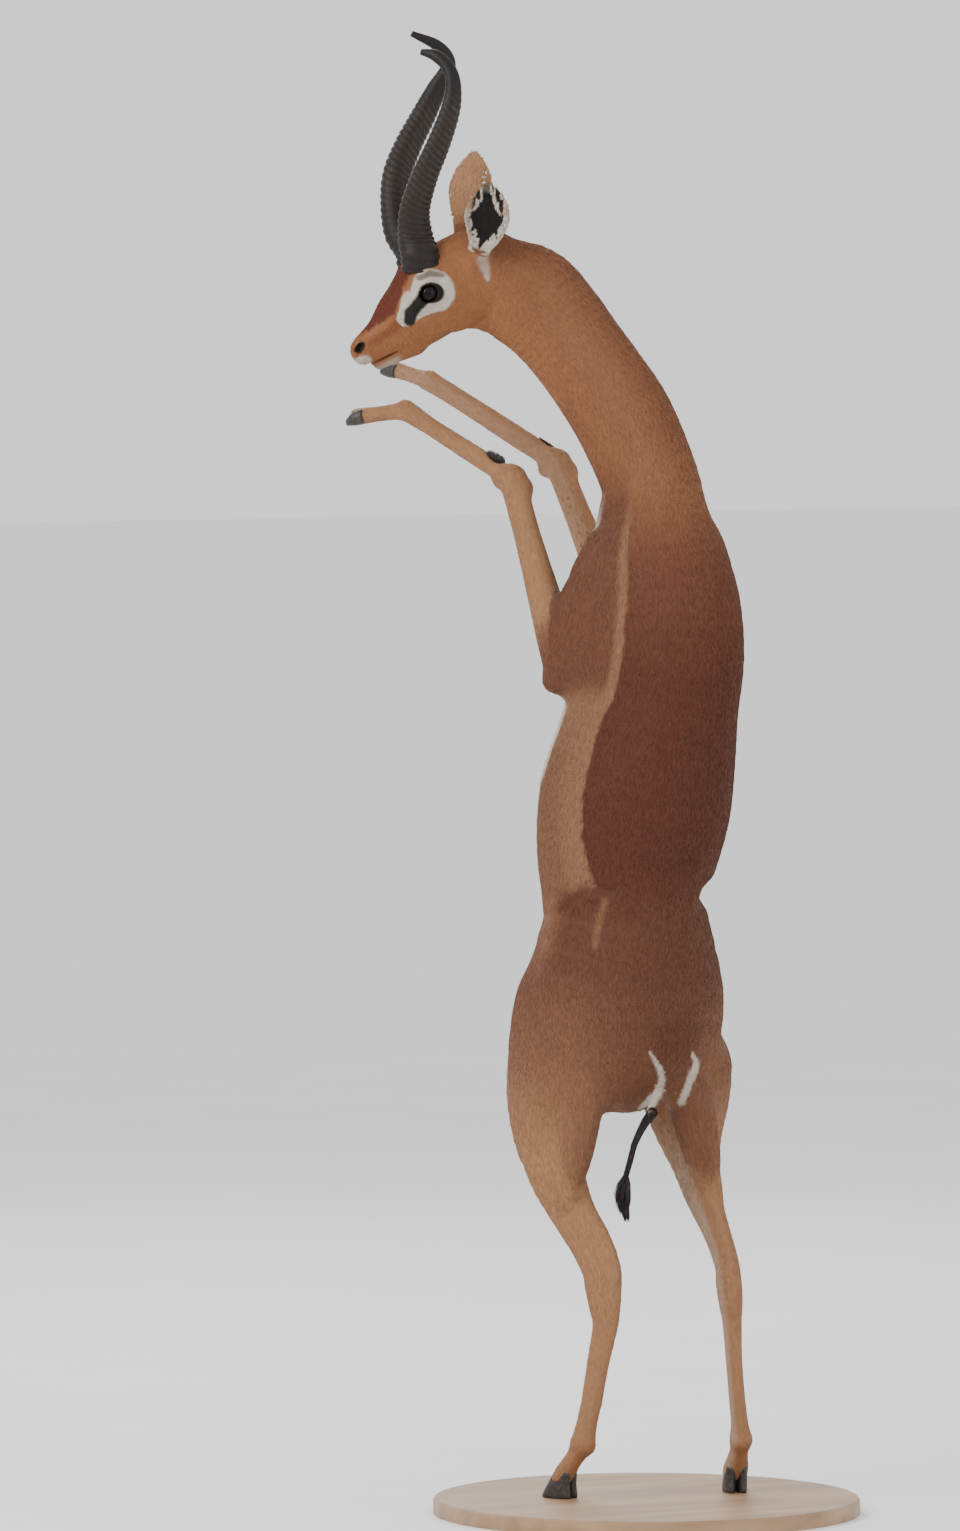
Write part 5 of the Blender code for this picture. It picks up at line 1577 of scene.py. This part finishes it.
def dress(obj, look, *nodes, slot):
    """Give a piece its material, its body and the nodes that it takes the place of; its slot is not used.
    """
    obj.data.materials.clear()
    obj.data.materials.append(look)
    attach(obj, "root")
    if nodes:
        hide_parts(*nodes)


def look_at(obj, place, target):
    """Put an object at a place and turn it toward a target."""
    obj.location = place
    obj.rotation_euler = (target - place).to_track_quat("-Z", "Y").to_euler()


def make_camera():
    """Make the camera at the photograph's angle and framing."""
    camera = bpy.data.cameras.new("camera")
    camera.sensor_fit = "VERTICAL"
    camera.sensor_height = SENSOR
    camera.lens = SENSOR * CAMERA_DISTANCE / (PICTURE[1] * PIXEL * MM)
    camera.clip_end = 200
    aim = at((PICTURE[0] / 2 - ORIGIN[0]) * PIXEL, BASE_CENTRE[1], (ORIGIN[1] - PICTURE[1] / 2) * PIXEL)
    obj = new_object("camera", camera)
    off = TOWARD * math.cos(CAMERA_RISE) + UP * math.sin(CAMERA_RISE)
    look_at(obj, aim + off * CAMERA_DISTANCE, aim)
    bpy.context.scene.camera = obj


def make_light(name, place, target, size, power, colour):
    """Make one soft square light."""
    light = bpy.data.lights.new(name, "AREA")
    light.shape = "SQUARE"
    light.size = size
    light.energy = power
    light.color = colour
    look_at(new_object(name, light), place, target)


def make_studio():
    """Make the floor, the world and the lights."""
    bm = bmesh.new()
    bmesh.ops.create_grid(bm, x_segments=1, y_segments=1, size=40)
    mesh = bpy.data.meshes.new("floor")
    bm.to_mesh(mesh)
    bm.free()
    mesh.materials.append(plain_material("floor", (0.89, 0.885, 0.875), (0.92, 0.915, 0.905), 3, 0.55,
                                         strength=0.02))
    floor = new_object("floor", mesh)
    world = bpy.data.worlds.new("world")
    world.use_nodes = True
    back = world.node_tree.nodes["Background"].inputs
    back["Color"].default_value = (0.90, 0.91, 0.92, 1)
    back["Strength"].default_value = 1.25
    bpy.context.scene.world = world
    aim = Vector((0, 0, 1.1))
    for name, toward, across, up, size, power, colour in (
            ("key", 3.2, -3.4, 2.6, 2.5, 150, (1, 0.97, 0.93)),
            ("fill", 3.6, 3.4, 1.0, 3.0, 40, (0.96, 0.98, 1)),
            ("rim", -3.4, -1.0, 2.6, 2.5, 110, (1, 1, 1))):
        make_light(name, aim + TOWARD * toward + ACROSS * across + UP * up, aim, size, power, colour)


# The nodes that the skin takes the place of
FLESH = ["head", "neck", "chest", "belly", "hindquarters"]
FLESH += [f"{part}_{side}" for side in SIGN for part in (
    "forearm", "fore_cannon", "fore_foot", "shank", "hind_cannon", "hind_foot", "ear")]

make_camera()
make_studio()
skin = make_skin()
places, normals = mesh_points(skin.data)
set_colours(skin.data, coat_colour(places, normals, lie_of(places)))
FUR = {"Specular_IOR_Level": 0.2, "Sheen_Weight": 0.03, "Sheen_Roughness": 0.4}
coat_look = marked_material("coat", False, **FUR)
dress(skin, marked_material("skin", True, **FUR), *FLESH, slot="coat")
for piece in (*make_coat(skin), make_crown(), make_ear_hair(skin)):
    dress(piece, coat_look, slot="coat")

hair_look = marked_material("dark_hair", False, 0.5, Specular_IOR_Level=0.35)
horn_look = marked_material("horn", True, 0.5, 0.45, Specular_IOR_Level=0.3)
eye_look = marked_material("eye", False, 0.06, Specular_IOR_Level=0.18)
for side in SIGN:
    dress(make_horn(side), horn_look, "horn_" + side, slot="horn")
    dress(make_eye(side), eye_look, "eye_" + side, slot="eye")
    dress(make_brush(side), hair_look, "knee_brush_" + side, slot="dark_hair")
tail_look = plain_material("tail_skin", (0.012, 0.009, 0.008), (0.035, 0.022, 0.016), 500, 0.65)
tail_rng = np.random.default_rng(31)
dress(make_tail(), tail_look, "tail", slot="dark_hair")
dress(make_tail_hair(tail_rng), hair_look, slot="dark_hair")
dress(make_tuft(tail_rng), hair_look, "tail_tuft", slot="dark_hair")
dress(make_lashes(), hair_look, slot="dark_hair")

hoof_look = plain_material("hoof", (0.012, 0.010, 0.009), (0.045, 0.037, 0.031), 220, 0.45)
base_look = plain_material("base_wood", (0.26, 0.15, 0.075), (0.40, 0.25, 0.14), 26, 0.45, (0.12, 1, 1))
for name, obj in list(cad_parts.items()):
    if name.startswith("hoof"):
        dress(rounded(name + "_round", obj), hoof_look, name, slot="hoof")
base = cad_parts["stand_base"].data.materials
base.clear()
base.append(base_look)
